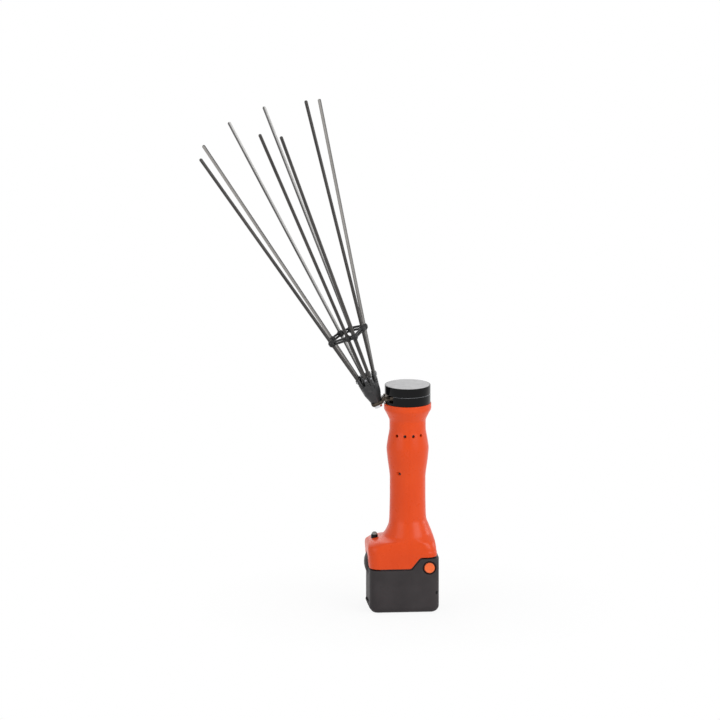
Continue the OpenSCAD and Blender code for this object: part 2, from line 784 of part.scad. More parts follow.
module handle_deck() {
    color([0.16, 0.16, 0.17])
        difference() {
            translate([0, 0, deck_z])
                linear_extrude(deck_t)
                    polygon(inside_outline(sections[2], fit));
            translate([0, 0, deck_z + deck_t - board_slot])
                linear_extrude(deck_t)
                    square([board_w + 2 * fit, board_t + 2 * fit], center = true);
            for (x = contact_xs)
                box([x - contact_w / 2 - fit, -contact_t / 2 - fit, deck_z - over],
                    [x + contact_w / 2 + fit, contact_t / 2 + fit, deck_z + deck_t + over]);
        }
}

module circuit_board() {
    low = deck_z + deck_t - board_slot;
    color([0.1, 0.35, 0.2])
        box([-board_w / 2, -board_t / 2, low], [board_w / 2, board_t / 2, low + board_h]);
}

module board_parts() {
    face = board_t / 2;
    low = deck_z + deck_t;
    color([0.2, 0.2, 0.22]) {
        box([-11, face, low + 4], [-3, face + 4.5, low + 18]);
        box([3, face, low + 20], [11, face + 3, low + 28]);
        translate([6, face, low + 10])
            rotate([-90, 0, 0])
                cylinder(r = 4, h = 11, $fn = 32);
        box([-9, -face - 5, low + 22], [9, -face, low + 30]);
    }
}

module handle_contacts() {
    color([0.8, 0.62, 0.3])
        for (x = contact_xs)
            box([x - contact_w / 2, -contact_t / 2, contact_top - 8], [x + contact_w / 2, contact_t / 2, deck_z + deck_t + 3]);
}

module switch_body() {
    low = deck_z + deck_t;
    color([0.15, 0.15, 0.16]) {
        box([-button_x - switch_w / 2, -switch_w / 2, low], [-button_x + switch_w / 2, switch_w / 2, switch_top]);
        translate([-button_x, 0, switch_top])
            cylinder(r = 2, h = button_low - button_travel - clear - switch_top, $fn = 32);
    }
}

module power_bezel() {
    color([0.13, 0.13, 0.13])
        translate([-button_x, 0, 0])
            difference() {
                union() {
                    washer(button_r + run, bezel_r, bezel_low, bezel_step - bezel_low);
                    washer(button_r + run, button_r + collar_wall, bezel_low, shoulder_z + 5 - bezel_low);
                }
                translate([0, 0, bezel_low - over])
                    cylinder(r = button_r + button_flange + clear,
                        h = button_low + button_flange_t + clear - bezel_low + over);
            }
}

module power_button() {
    edge = button_r + button_flange;
    dome_h = 0.5 * button_r;
    dome = [for (a = [0:15:90]) [button_r * cos(a), button_top - dome_h + dome_h * sin(a)]];
    color([0.77, 0.8, 0.79])
        translate([-button_x, 0, 0])
            rotate_extrude()
                polygon(concat([[0, button_low], [edge, button_low], [edge, button_low + button_flange_t],
                    [button_r, button_low + button_flange_t]], dome));
}

// Motor leads: tubes swept along points chosen by hand, from the board's top edge to the motor's end cap
lead_r = 1.2;
lead_sides = 8;
lead_top = motor_low - end_cap_t;
lead_low = deck_z + deck_t - board_slot + board_h;
lead_mid = (lead_low + lead_top) / 2;
lead_reach = 4;
lead_x = 8;
function lead_points(way) = [[way * lead_x, 0, lead_low], [way * lead_x, 0, lead_low + 4],
    [way * (lead_x + lead_reach / 2), lead_reach / 2, lead_mid - 3],
    [way * (lead_x + lead_reach), lead_reach, lead_mid + 3],
    [way * (lead_x + lead_reach), lead_reach, lead_top - 4], [way * (lead_x + lead_reach), lead_reach, lead_top]];
module lead(points) {
    n = len(points);
    last = n * lead_sides;
    rings = [for (p = points, k = [0:lead_sides - 1])
        p + lead_r * [cos(360 / lead_sides * k), sin(360 / lead_sides * k), 0]];
    walls = [for (i = [0:n - 2], k = [0:lead_sides - 1])
        let (a = i * lead_sides + k, b = i * lead_sides + (k + 1) % lead_sides)
        each [[a, a + lead_sides, b + lead_sides], [a, b + lead_sides, b]]];
    low_end = [for (k = [1:lead_sides - 2]) [0, k, k + 1]];
    high_end = [for (k = [1:lead_sides - 2]) [last - lead_sides, last - lead_sides + k + 1, last - lead_sides + k]];
    polyhedron(rings, concat(walls, low_end, high_end));
}

module motor_leads() {
    color([0.6, 0.1, 0.1])
        for (way = [-1, 1])
            lead(lead_points(way));
}

module motor_armature() {
    color([0.62, 0.45, 0.3]) {
        translate([0, 0, motor_low - end_cap_t - 2])
            cylinder(r = motor_shaft_r, h = gear_top + end_cap_t + 1 - motor_low, $fn = 48);
        translate([0, 0, motor_low + 16])
            difference() {
                cylinder(r = core_r, h = motor_len - 30);
                for (k = [0:4])
                    rotate(72 * k)
                        translate([core_r - 4, -0.9, -over])
                            cube([5, 1.8, motor_len]);
            }
        translate([0, 0, motor_low + 5])
            cylinder(r = motor_shaft_r + 3, h = 11);
    }
}

module sun_gear() {
    color([0.78, 0.66, 0.35])
        pinion(sun_teeth, motor_shaft_r + fit / 5, gear_low, gear_w);
}

// A planet stands with one tooth pointing outwards
module planet_gear(k) {
    color([0.78, 0.66, 0.35])
        rotate(planet_angles[k])
            translate([planet_pcr, 0, 0])
                pinion(planet_teeth, planet_pin_r + run, gear_low, gear_w);
}
module planet_gear_1() { planet_gear(0); }
module planet_gear_2() { planet_gear(1); }
module planet_gear_3() { planet_gear(2); }

module planet_carrier() {
    color([0.66, 0.67, 0.69])
        difference() {
            union() {
                translate([0, 0, carrier_disc_low])
                    cylinder(r = carrier_disc_r, h = carrier_disc_t);
                translate([0, 0, carrier_disc_low])
                    cylinder(r = output_r, h = crank_disc_low - carrier_disc_low);
            }
            spread(planet_angles, planet_pcr)
                translate([0, 0, carrier_disc_low - over])
                    cylinder(r = planet_pin_r + fit / 5, h = carrier_disc_t + 2 * over, $fn = 32);
        }
}

module planet_pins() {
    color([0.75, 0.75, 0.77])
        spread(planet_angles, planet_pcr)
            translate([0, 0, gear_low])
                cylinder(r = planet_pin_r, h = carrier_disc_low + carrier_disc_t - gear_low, $fn = 32);
}

module crank_disc() {
    color([0.66, 0.67, 0.69]) {
        translate([0, 0, crank_disc_low])
            cylinder(r = crank_disc_r, h = crank_disc_top - crank_disc_low);
        translate([crank_throw, 0, crank_disc_low])
            cylinder(r = crank_pin_r, h = arm_top + 1.2 - crank_disc_low, $fn = 48);
    }
}

module crank_roller() {
    color([0.8, 0.8, 0.82])
        translate([crank_throw, 0, 0])
            washer(crank_pin_r + run, roller_r, crank_disc_top + fit, arm_top + 0.8 - crank_disc_top);
}

module swing_arm() {
    fork_tip = crank_throw + roller_r + 2.4;
    slot_back = sqrt(pow(pivot_x, 2) + pow(crank_throw, 2)) - pivot_x - 0.8;
    color([0.27, 0.26, 0.25])
        difference() {
            union() {
                translate([-pivot_x, 0, arm_low])
                    cylinder(r = hub_r, h = arm_t);
                box([-pivot_x, -fork_half, arm_low], [fork_tip, fork_half, arm_top]);
                box([lap_right, -arm_w / 2, arm_low], [-pivot_x, arm_w / 2, arm_top]);
                box([lap_left, -arm_w / 2, arm_low], [lap_right + 0.01, arm_w / 2, lap_z]);
            }
            translate([slot_back, 0, arm_low - over])
                cylinder(r = fork_slot_half, h = arm_t + 2 * over);
            box([slot_back, -fork_slot_half, arm_low - over],
                [fork_tip + over, fork_slot_half, arm_top + over]);
            translate([-pivot_x, 0, arm_low - over])
                cylinder(r = bush_r + fit / 5, h = arm_t + 2 * over);
            translate([arm_bolt_x, 0, arm_low - over])
                cylinder(r = arm_bolt_r + fit, h = arm_t + 2 * over, $fn = 32);
            translate([arm_bolt_x, 0, arm_low])
                cylinder(r1 = arm_bolt_r + 1.4 + fit, r2 = arm_bolt_r + fit, h = 1.4, $fn = 32);
        }
}

module arm_bush() {
    color([0.72, 0.5, 0.25])
        translate([-pivot_x, 0, 0])
            washer(pivot_r + run, bush_r, arm_low, arm_t);
}

// The bracket lies on the arm's lap, turns down beside the head and ends in the tilted pad
module rod_bracket() {
    pad_top_right = [for (k = [0, 2]) (aim_point + pad_s * fan_n + (carrier_low_r - 0.2) * fan_u)[k]];
    pad_top_left = [for (k = [0, 2]) (aim_point + pad_s * fan_n - pad_left * fan_u)[k]];
    pad_low_left = [for (k = [0, 2]) (aim_point + (pad_s - pad_t) * fan_n - pad_left * fan_u)[k]];
    pad_low_right = [for (k = [0, 2]) (aim_point + (pad_s - pad_t) * fan_n + (carrier_low_r - 1.5) * fan_u)[k]];
    color([0.27, 0.26, 0.25])
        difference() {
            slab([[lap_right - 0.2, lap_z], [lap_right - 0.2, arm_top], [leg_left + 1.4, arm_top],
                [leg_left + 0.4, arm_top - 0.8], [leg_left, arm_top - 2.2], pad_top_right, pad_top_left, pad_low_left,
                pad_low_right, [leg_right - 1.2, pad_low_right[1] + 1], [leg_right, lap_z - 2.2], [leg_right, lap_z]],
                arm_w);
            translate([arm_bolt_x, 0, arm_low])
                cylinder(r = arm_bolt_r + fit, h = 2 * arm_t, $fn = 32);
            along(aim_point, fan_n)
                translate([0, 0, pad_s - 2 * pad_t])
                    cylinder(r = carrier_bolt_r + fit, h = 3 * pad_t, $fn = 32);
        }
}

module arm_bolt() {
    color([0.6, 0.6, 0.62])
        translate([arm_bolt_x, 0, arm_low]) {
            cylinder(r1 = arm_bolt_r + 1.4, r2 = arm_bolt_r, h = 1.4, $fn = 32);
            cylinder(r = arm_bolt_r, h = arm_t + arm_nut_h + 0.4, $fn = 32);
        }
}

module arm_nut() {
    color([0.85, 0.85, 0.86])
        translate([arm_bolt_x, 0, arm_top])
            difference() {
                union() {
                    cylinder(r = arm_nut_r, h = 0.8);
                    cylinder(r = arm_nut_r - 0.5, h = arm_nut_h, $fn = 6);
                }
                translate([0, 0, -over])
                    cylinder(r = arm_bolt_r + fit / 5, h = arm_nut_h + 2 * over, $fn = 32);
            }
}

module carrier_bolt() {
    color([0.6, 0.6, 0.62])
        along(aim_point, fan_n)
            translate([0, 0, pad_s - pad_t - carrier_bolt_head_h]) {
                cylinder(r = carrier_bolt_head_r, h = carrier_bolt_head_h, $fn = 6);
                translate([0, 0, carrier_bolt_head_h - 1])
                    cylinder(r = carrier_bolt_head_r + 1, h = 1);
                cylinder(r = carrier_bolt_r, h = carrier_bolt_head_h + pad_t + carrier_len / 2, $fn = 32);
            }
}

// Cone with a socket for each rod round its rim
module rod_carrier() {
    color([0.2, 0.2, 0.2])
        difference() {
            union() {
                along(aim_point + pad_s * fan_n, fan_n)
                    rotate_extrude()
                        polygon([[0, 0], [carrier_low_r - 0.6, 0], [carrier_low_r, 0.6],
                            [carrier_r - 2, carrier_len / 2 - 1], [carrier_r, carrier_len - 2],
                            [carrier_r - 1.2, carrier_len], [0, carrier_len + 1.5]]);
                for (i = [0:rod_count - 1])
                    along(rod_mouth(i) - rod_dir(i) * rod_seat * 0.8, rod_dir(i))
                        cylinder(r = socket_out_r, h = rod_seat * 0.8 + socket_above, $fn = 32);
            }
            for (i = [0:rod_count - 1])
                along(rod_mouth(i) - rod_dir(i) * rod_seat, rod_dir(i))
                    cylinder(r = rod_r + fit / 2, h = rod_seat + 4 * socket_above, $fn = 32);
            along(aim_point + pad_s * fan_n, fan_n)
                translate([0, 0, -over])
                    cylinder(r = carrier_bolt_r + fit / 2, h = over + carrier_len / 2 + 1, $fn = 32);
        }
}

module rod(i) {
    foot = rod_mouth(i) - rod_dir(i) * (rod_seat - fit);
    length = norm(rod_tip(i) - foot);
    color([0.27, 0.27, 0.27])
        along(foot, rod_dir(i))
            rotate_extrude($fn = 32)
                polygon([[0, 0], [rod_r, 0], [rod_r, length - 0.6 * rod_r], [0.7 * rod_r, length - 0.15 * rod_r],
                    [0.35 * rod_r, length], [0, length]]);
}
module rod_1() { rod(0); }
module rod_2() { rod(1); }
module rod_3() { rod(2); }
module rod_4() { rod(3); }
module rod_5() { rod(4); }
module rod_6() { rod(5); }
module rod_7() { rod(6); }
module rod_8() { rod(7); }

// Rubber brace: an eyelet on each rod, joined to the next one by two thin links
link_r = 1.6;
link_rise = 1.8;
module rod_brace() {
    color([0.08, 0.08, 0.08])
        difference() {
            for (i = [0:rod_count - 1]) {
                along(rod_at(i, brace_s) - rod_dir(i) * eyelet_len / 2, rod_dir(i))
                    cylinder(r = eyelet_r, h = eyelet_len, $fn = 32);
                for (rise = [-link_rise, link_rise])
                    bar(rod_at(i, brace_s + rise), rod_at((i + 1) % rod_count, brace_s + rise), link_r);
            }
            for (i = [0:rod_count - 1])
                along(rod_at(i, brace_s) - rod_dir(i) * 2 * eyelet_len, rod_dir(i))
                    cylinder(r = rod_r + fit / 2, h = 4 * eyelet_len, $fn = 32);
        }
}

// Plan of the pack with round corners, drawn in by a margin
module pack_plan(margin) {
    r = pack_corner - margin;
    low = [-pack_left + margin, -pack_depth + margin];
    high = [pack_right - margin, pack_depth - margin];
    translate(low + [r, 0])
        square(high - low - [2 * r, 0]);
    translate(low + [0, r])
        square(high - low - [0, 2 * r]);
    for (x = [low[0] + r, high[0] - r], y = [low[1] + r, high[1] - r])
        translate([x, y])
            circle(r = r);
}

// Round lower corners of an outline, from its left side to its right side
function round_bottom(left, right, low, r) = concat(
    [for (a = [180:10:270]) [left + r + r * cos(a), low + r + r * sin(a)]],
    [for (a = [270:10:360]) [right - r + r * cos(a), low + r + r * sin(a)]]);

// Solid form of the pack, drawn in by a margin, with the climbing top line moved down by a drop
module pack_form(margin, drop) {
    r = pack_edge - margin;
    high = pack_high_top - drop;
    low = pack_low_top - drop;
    intersection() {
        linear_extrude(parting_high + 2 * pack_edge)
            pack_plan(margin);
        slab(concat(round_bottom(-pack_left + margin, pack_right - margin, margin, r),
            [[pack_right - margin, high], [parting_level_x + parting_shift, high],
                [parting_climb_x + parting_shift, low],
                [-pack_left + margin, low]]), 4 * pack_depth);
        side_slab(concat(round_bottom(-pack_depth + margin, pack_depth - margin, margin, r),
            [[pack_depth - margin, 2 * parting_high], [-pack_depth + margin, 2 * parting_high]]),
            -2 * pack_left, 2 * pack_right);
    }
}

// Tongue on the left face that rises into the foot, and the finger lip near the bottom
tongue_gap = 2 * clear;
tongue_top = parting_high + 0.4;
tongue_low = 44;
tongue_out = 4.4;
lip_z = 12;
module pack_tongue() {
    back = -pack_left + pack_wall;
    face = -pack_left - tongue_out;
    slab([[-pack_left + 0.5, tongue_low], [face + 3.4, tongue_low + 4], [face + 1.5, tongue_low + 9],
        [face + 0.3, tongue_low + 14], [face, tongue_low + 19], [face + 0.4, tongue_low + 23.5],
        [face + 1.8, tongue_low + 27.5], [face + 3.6, tongue_low + 30.5], [face + 5, tongue_top], [back, tongue_top],
        [back, tongue_low + 5]], tongue_w);
}
module finger_lip() {
    slab([[-pack_left + 0.38 * pack_edge, 0.29 * pack_edge], [-pack_left + 1, 0.4 * pack_edge],
        [-pack_left - 0.9, 0.8 * pack_edge], [-pack_left - 2.8, lip_z + 0.2], [-pack_left - 2.4, lip_z + 0.8],
        [-pack_left - 0.6, lip_z - 1.8], [-pack_left + 1.2, lip_z - 2.6]], tongue_w);
}

module release_bores(r, from_y, to_y) {
    front_and_rear()
        translate([release_x, -from_y, release_z])
            rotate([-90, 0, 0])
                cylinder(r = r, h = from_y - to_y);
}

module battery_case() {
    color([0.26, 0.25, 0.25])
        difference() {
            union() {
                difference() {
                    pack_form(0, 0);
                    pack_form(pack_wall, -2 * over);
                }
                pack_tongue();
                finger_lip();
                front_and_rear()
                    box([cell_x0, -rib_y - 1, pack_wall - over], [-cell_x0 / 2, -rib_y + 1, holder_low]);
            }
            release_bores(release_r + clear, pack_depth + over, 0);
            release_bores(release_ring_r, pack_depth + over, pack_depth - release_ring_d);
            at_light()
                cylinder(r = light_r + fit / 2, h = 4 * pack_wall, center = true, $fn = 32);
        }
}

module lid_form(margin, drop_top, drop_low) {
    difference() {
        pack_form(margin, drop_top);
        translate([0, 0, -over])
            pack_form(margin - 2, drop_low - over);
    }
}

// Lid inside the case, with the contact tower on its left half and the latch walls under its raised right half
module battery_lid() {
    color([0.22, 0.22, 0.23])
        difference() {
            union() {
                lid_form(pack_wall + fit, 0, lid_t);
                box([tower_x[0], -tower_half, pack_low_top - fit], [tower_x[1], tower_half, tower_top]);
                front_and_rear()
                    box([release_x - release_r, -latch_wall_y, release_z - release_r],
                        [release_x + release_r, -latch_wall_y + latch_wall_t, pack_high_top - lid_t + fit]);
            }
            box([tower_x[0] + 2, -tower_half + 2, pack_low_top - lid_t - over],
                [tower_x[1] - 2, tower_half - 2, tower_top - 2]);
            for (x = contact_xs)
                box([x - contact_w / 2 - clear, -contact_t / 2 - clear, tower_top - 2 - over],
                    [x + contact_w / 2 + clear, contact_t / 2 + clear, tower_top + over]);
            front_and_rear()
                box([hook_x[0] - clear, -pack_depth, pack_low_top],
                    [hook_x[1] + clear, -hook_y + hook_t + release_travel + 2 * clear, parting_high + over]);
            release_bores(release_stem_r + clear, pack_depth, 0);
        }
}

module at_cells() {
    for (i = [0:cell_columns - 1], k = [0:cell_layers - 1])
        translate([cell_x0 + i * cell_pitch, 0, cell_z0 + k * cell_pitch])
            rotate([90, 0, 0])
                children();
}

module cell_holders() {
    left = cell_x0 - cell_r - 2;
    right = cell_x0 + (cell_columns - 1) * cell_pitch + cell_r + 2;
    color([0.1, 0.1, 0.11])
        difference() {
            front_and_rear()
                box([left, -cell_len / 2 + 1, holder_low], [right, -cell_len / 2 + 1 + holder_t,
                    cell_z0 + (cell_layers - 1) * cell_pitch + cell_r + 1.5]);
            at_cells()
                cylinder(r = cell_r + fit / 2, h = 2 * cell_len, center = true, $fn = 48);
        }
}

module battery_cells() {
    color([0.2, 0.4, 0.6])
        at_cells()
            cylinder(r = cell_r, h = cell_len, center = true, $fn = 48);
}

module cell_straps() {
    color([0.8, 0.8, 0.78])
        for (k = [0:cell_layers - 1], pair = [0:cell_columns / 2 - 1])
            front_and_rear()
                box([cell_x0 + 2 * pair * cell_pitch - 3, -cell_len / 2 - strap_t, cell_z0 + k * cell_pitch - 3],
                    [cell_x0 + (2 * pair + 1) * cell_pitch + 3, -cell_len / 2, cell_z0 + k * cell_pitch + 3]);
}

module battery_contacts() {
    color([0.8, 0.62, 0.3])
        for (x = contact_xs, way = [-1, 1])
            box([x - contact_w / 2, way > 0 ? contact_t / 2 + clear : -contact_t / 2 - clear - 1, pack_low_top],
                [x + contact_w / 2, way > 0 ? contact_t / 2 + clear + 1 : -contact_t / 2 - clear, tower_top - 2]);
}

// The light sits in the pack's front right corner, facing out across it
module at_light() {
    translate([pack_right - pack_corner, -pack_depth + pack_corner, light_z])
        rotate(-45)
            translate([pack_corner, 0, 0])
                rotate([0, 90, 0])
                    children();
}

module charge_light() {
    color([0.06, 0.06, 0.06])
        at_light() {
            translate([0, 0, -pack_wall - light_set])
                cylinder(r = light_r, h = pack_wall + light_set - 0.2, $fn = 32);
            translate([0, 0, -pack_wall - light_set - 1])
                cylinder(r = light_r + 1, h = 1, $fn = 32);
        }
}

// Return springs of the release buttons, wound round their stems
module coil(r, wire_r, length, turns) {
    steps = 12;
    sides = 6;
    n = turns * steps + 1;
    rise = (length - 2 * wire_r) / (n - 1);
    points = [for (i = [0:n - 1], k = [0:sides - 1])
        let (a = 360 * i / steps, b = 360 * k / sides, d = r + wire_r * cos(b))
        [d * cos(a), d * sin(a), wire_r + rise * i + wire_r * sin(b)]];
    walls = [for (i = [0:n - 2], k = [0:sides - 1])
        let (a = i * sides + k, b = i * sides + (k + 1) % sides)
        each [[a, b, b + sides], [a, b + sides, a + sides]]];
    last = (n - 1) * sides;
    ends = [for (k = [1:sides - 2]) each [[0, k + 1, k], [last, last + k, last + k + 1]]];
    polyhedron(points, concat(walls, ends));
}

module release_springs() {
    color([0.75, 0.75, 0.77])
        front_and_rear()
            translate([release_x, -latch_wall_y, release_z])
                rotate([90, 0, 0])
                    coil(spring_r, spring_wire_r, spring_len, spring_turns);
}

// Button, its retaining plate, guide stem and latch hook in one moulding, seen at the front
module release_button() {
    face = pack_depth + release_proud;
    plate_out = pack_depth - pack_wall - clear;
    plate_in = plate_out - release_plate_t;
    color([0.93, 0.42, 0.22]) {
        translate([release_x, 0, release_z])
            rotate([90, 0, 0])
                rotate_extrude()
                    polygon([[0, plate_in - release_stem_len], [release_stem_r, plate_in - release_stem_len],
                        [release_stem_r, plate_out - fit], [release_r, plate_out - fit], [release_r, face - 0.8],
                        [release_r - 0.8, face], [0, face]]);
        box([release_plate_x[0], -plate_out, release_z - release_plate_half],
            [release_plate_x[1], -plate_in, release_z + release_plate_half]);
        box([hook_x[0], -hook_y, hook_low], [hook_x[1], -hook_y + hook_t, hook_top]);
    }
}
module release_button_front() { release_button(); }
module release_button_rear() { mirror([0, 1, 0]) release_button(); }

shell_left();
shell_right();
shell_screws();
head_ring();
head_cap();
top_plate();
cap_screws();
gearbox_screws();
pivot_pin();
motor_can();
motor_magnets();
motor_end_cap();
motor_mounts();
motor_plate();
ring_gear();
bearing_nose();
output_bearings();
handle_deck();
circuit_board();
board_parts();
handle_contacts();
switch_body();
power_bezel();
motor_leads();
motor_armature();
sun_gear();
planet_carrier();
planet_pins();
crank_disc();
crank_roller();
planet_gear_1();
planet_gear_2();
planet_gear_3();
swing_arm();
arm_bush();
rod_bracket();
arm_bolt();
arm_nut();
carrier_bolt();
rod_carrier();
rod_1();
rod_2();
rod_3();
rod_4();
rod_5();
rod_6();
rod_7();
rod_8();
rod_brace();
power_button();
battery_case();
battery_lid();
cell_holders();
battery_cells();
cell_straps();
battery_contacts();
charge_light();
release_springs();
release_button_front();
release_button_rear();
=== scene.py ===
"""Looks of a hand-held electric olive harvester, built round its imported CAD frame.

A bottle-shaped grip in two shells, a drive head with a swinging lever, a fan of eight rods and a slide-off
battery pack as the foot. Sizes are in millimetres and become metres when a mesh is made.
"""

import json
import logging
import math
from dataclasses import dataclass, field
from enum import Enum
from typing import Any, Sequence

import bmesh
import bpy
import numpy as np
from mathutils import Matrix, Vector

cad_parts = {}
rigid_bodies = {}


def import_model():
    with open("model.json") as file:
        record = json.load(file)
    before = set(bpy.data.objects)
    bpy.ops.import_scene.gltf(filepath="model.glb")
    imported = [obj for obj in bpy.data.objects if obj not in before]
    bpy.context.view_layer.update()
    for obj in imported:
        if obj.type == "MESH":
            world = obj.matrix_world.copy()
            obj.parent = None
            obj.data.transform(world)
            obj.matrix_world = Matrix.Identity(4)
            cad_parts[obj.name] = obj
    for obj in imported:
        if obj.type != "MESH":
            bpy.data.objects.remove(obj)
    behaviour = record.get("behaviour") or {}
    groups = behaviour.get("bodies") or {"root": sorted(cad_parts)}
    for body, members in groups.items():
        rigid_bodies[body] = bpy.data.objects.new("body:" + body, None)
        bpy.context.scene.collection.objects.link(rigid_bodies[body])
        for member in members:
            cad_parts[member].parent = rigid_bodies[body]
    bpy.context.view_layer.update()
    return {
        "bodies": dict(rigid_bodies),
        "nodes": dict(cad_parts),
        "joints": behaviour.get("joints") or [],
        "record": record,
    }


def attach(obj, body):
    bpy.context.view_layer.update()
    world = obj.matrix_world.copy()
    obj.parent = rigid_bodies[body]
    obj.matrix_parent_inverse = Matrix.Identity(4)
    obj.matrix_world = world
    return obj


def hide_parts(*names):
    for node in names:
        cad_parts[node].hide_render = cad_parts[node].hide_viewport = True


log = logging.getLogger("olive_harvester")

MM = 0.001
# Distances in metres within which points are merged, in a new mesh and in the copy of a CAD node
MERGE = 1e-7
NODE_MERGE = 2e-6
Point2 = tuple[float, float]
Colour = tuple[int, int, int]


class Body(Enum):
    """The CAD bodies that pieces ride on."""

    HANDLE = "handle"
    ARM = "arm"
    POWER_BUTTON = "power_button"
    BATTERY = "battery"
    RELEASE_FRONT = "release_front"
    RELEASE_REAR = "release_rear"


# Shapes

@dataclass
class Shape:
    """Points in millimetres and the faces that join them."""

    points: list[tuple[float, float, float]] = field(default_factory=list)
    faces: list[tuple[int, ...]] = field(default_factory=list)

    def add(self, other: "Shape") -> "Shape":
        """Takes in another shape as a separate island.

        Args:
            other: The shape to take in.

        Returns:
            This shape.
        """
        start = len(self.points)
        self.points.extend(other.points)
        self.faces.extend(tuple(i + start for i in face) for face in other.faces)
        return self

    def moved(self, matrix: Matrix) -> "Shape":
        """Makes a moved copy.

        Args:
            matrix: The move, in millimetres.

        Returns:
            The moved copy.
        """
        return Shape([tuple(matrix @ Vector(p)) for p in self.points], list(self.faces))


def toward(point: Sequence[float], direction: Sequence[float]) -> Matrix:
    """Makes the move that stands a shape on a point, with its Z axis along a direction.

    Args:
        point: Where the shape's origin goes.
        direction: Where its Z axis goes.

    Returns:
        The move.
    """
    turn = Vector(direction).to_track_quat("Z", "Y")
    return Matrix.Translation(Vector(point)) @ turn.to_matrix().to_4x4()


def rounded(points: Sequence[Point2], radii: Sequence[float], steps: int = 6) -> list[Point2]:
    """Rounds the corners of a closed outline.

    Args:
        points: The outline's corners.
        radii: The radius of each corner, 0 for a sharp one.
        steps: How many steps an arc has.

    Returns:
        The rounded outline.
    """
    out: list[Point2] = []
    count = len(points)
    for i, radius in enumerate(radii):
        here, before, after = Vector(points[i]), Vector(points[i - 1]), Vector(points[(i + 1) % count])
        to_before, to_after = (before - here), (after - here)
        if radius <= 0 or to_before.length < 1e-9 or to_after.length < 1e-9:
            out.append(tuple(here))
            continue
        a, b = to_before.normalized(), to_after.normalized()
        half = math.acos(max(-1.0, min(1.0, a.dot(b)))) / 2
        if half > math.radians(89):
            out.append(tuple(here))
            continue
        reach = min(radius / math.tan(half), 0.49 * to_before.length, 0.49 * to_after.length)
        radius = reach * math.tan(half)
        middle = here + (a + b).normalized() * (radius / math.sin(half))
        start, end = here + a * reach - middle, here + b * reach - middle
        swing = start.angle_signed(end)
        for k in range(steps + 1):
            angle = -swing * k / steps
            c, s = math.cos(angle), math.sin(angle)
            out.append((middle.x + start.x * c - start.y * s, middle.y + start.x * s + start.y * c))
    return out


def revolve(profile: Sequence[Point2], segments: int = 96) -> Shape:
    """Turns a closed profile about the Z axis.

    Args:
        profile: The outline, as radius and height.
        segments: How many steps a turn has.

    Returns:
        The turned shape.
    """
    shape = Shape()
    rings: list[list[int]] = []
    for r, z in profile:
        start = len(shape.points)
        if r < 1e-6:
            shape.points.append((0.0, 0.0, z))
            rings.append([start] * segments)
            continue
        for k in range(segments):
            a = 2 * math.pi * k / segments
            shape.points.append((r * math.cos(a), r * math.sin(a), z))
        rings.append(list(range(start, start + segments)))
    for i, low in enumerate(rings):
        high = rings[(i + 1) % len(rings)]
        for k in range(segments):
            n = (k + 1) % segments
            corners = list(dict.fromkeys((low[k], low[n], high[n], high[k])))
            if len(corners) > 2:
                shape.faces.append(tuple(corners))
    return shape


def prism(outline: Sequence[Point2], low: float, high: float) -> Shape:
    """Draws an outline in XY up from one height to another.

    Args:
        outline: The closed outline.
        low: The lower height.
        high: The upper height.

    Returns:
        The prism.
    """
    n = len(outline)
    points = [(x, y, z) for z in (low, high) for x, y in outline]
    faces: list[tuple[int, ...]] = [(i, (i + 1) % n, n + (i + 1) % n, n + i) for i in range(n)]
    faces += [tuple(reversed(range(n))), tuple(range(n, 2 * n))]
    return Shape(points, faces)


def side_prism(outline: Sequence[Point2], depth: float) -> Shape:
    """Draws an outline in XZ out over a depth that is centred on Y = 0.

    Args:
        outline: The closed outline.
        depth: The whole depth.

    Returns:
        The prism.
    """
    flat = prism(outline, -depth / 2, depth / 2)
    return Shape([(x, -y, z) for x, z, y in flat.points], flat.faces)


def block(low: Sequence[float], high: Sequence[float]) -> Shape:
    """Makes a box from its lowest to its highest corner.

    Args:
        low: The lowest corner.
        high: The highest corner.

    Returns:
        The box.
    """
    return prism([(low[0], low[1]), (high[0], low[1]), (high[0], high[1]), (low[0], high[1])], low[2], high[2])


def between_rings(rows: int, count: int, start: int = 0, closed: bool = True) -> list[tuple[int, ...]]:
    """Gives the faces between rings of points that follow one another.

    Args:
        rows: How many rings there are.
        count: How many points a ring has.
        start: The number of the first ring's first point.
        closed: Whether each ring closes on itself.

    Returns:
        The faces.
    """
    faces: list[tuple[int, ...]] = []
    for k in range(rows - 1):
        low, high = start + k * count, start + (k + 1) * count
        for j in range(count if closed else count - 1):
            m = (j + 1) % count
            faces.append((low + j, low + m, high + m, high + j))
    return faces


# Pieces

def put(name: str, data: bpy.types.ID) -> bpy.types.Object:
    """Puts a new object into the scene.

    Args:
        name: The object's name.
        data: Its mesh, lamp or camera.

    Returns:
        The object.
    """
    thing = bpy.data.objects.new(name, data)
    bpy.context.scene.collection.objects.link(thing)
    return thing


def discard(tool: bpy.types.Object) -> None:
    """Takes a helper object and its mesh away again.

    Args:
        tool: The helper object.
    """
    mesh = tool.data
    bpy.data.objects.remove(tool)
    bpy.data.meshes.remove(mesh)


def make_mesh(name: str, shape: Shape) -> bpy.types.Object:
    """Makes a closed mesh object in metres, with doubles merged and faces outwards.

    Args:
        name: The object's name.
        shape: The shape in millimetres.

    Returns:
        The object, linked to the scene.
    """
    mesh = bpy.data.meshes.new(name)
    mesh.from_pydata([(x * MM, y * MM, z * MM) for x, y, z in shape.points], [], shape.faces)
    made = bmesh.new()
    made.from_mesh(mesh)
    bmesh.ops.remove_doubles(made, verts=made.verts, dist=MERGE)
    bmesh.ops.dissolve_degenerate(made, edges=made.edges, dist=MERGE)
    bmesh.ops.recalc_face_normals(made, faces=made.faces)
    made.to_mesh(mesh)
    made.free()
    return put(name, mesh)


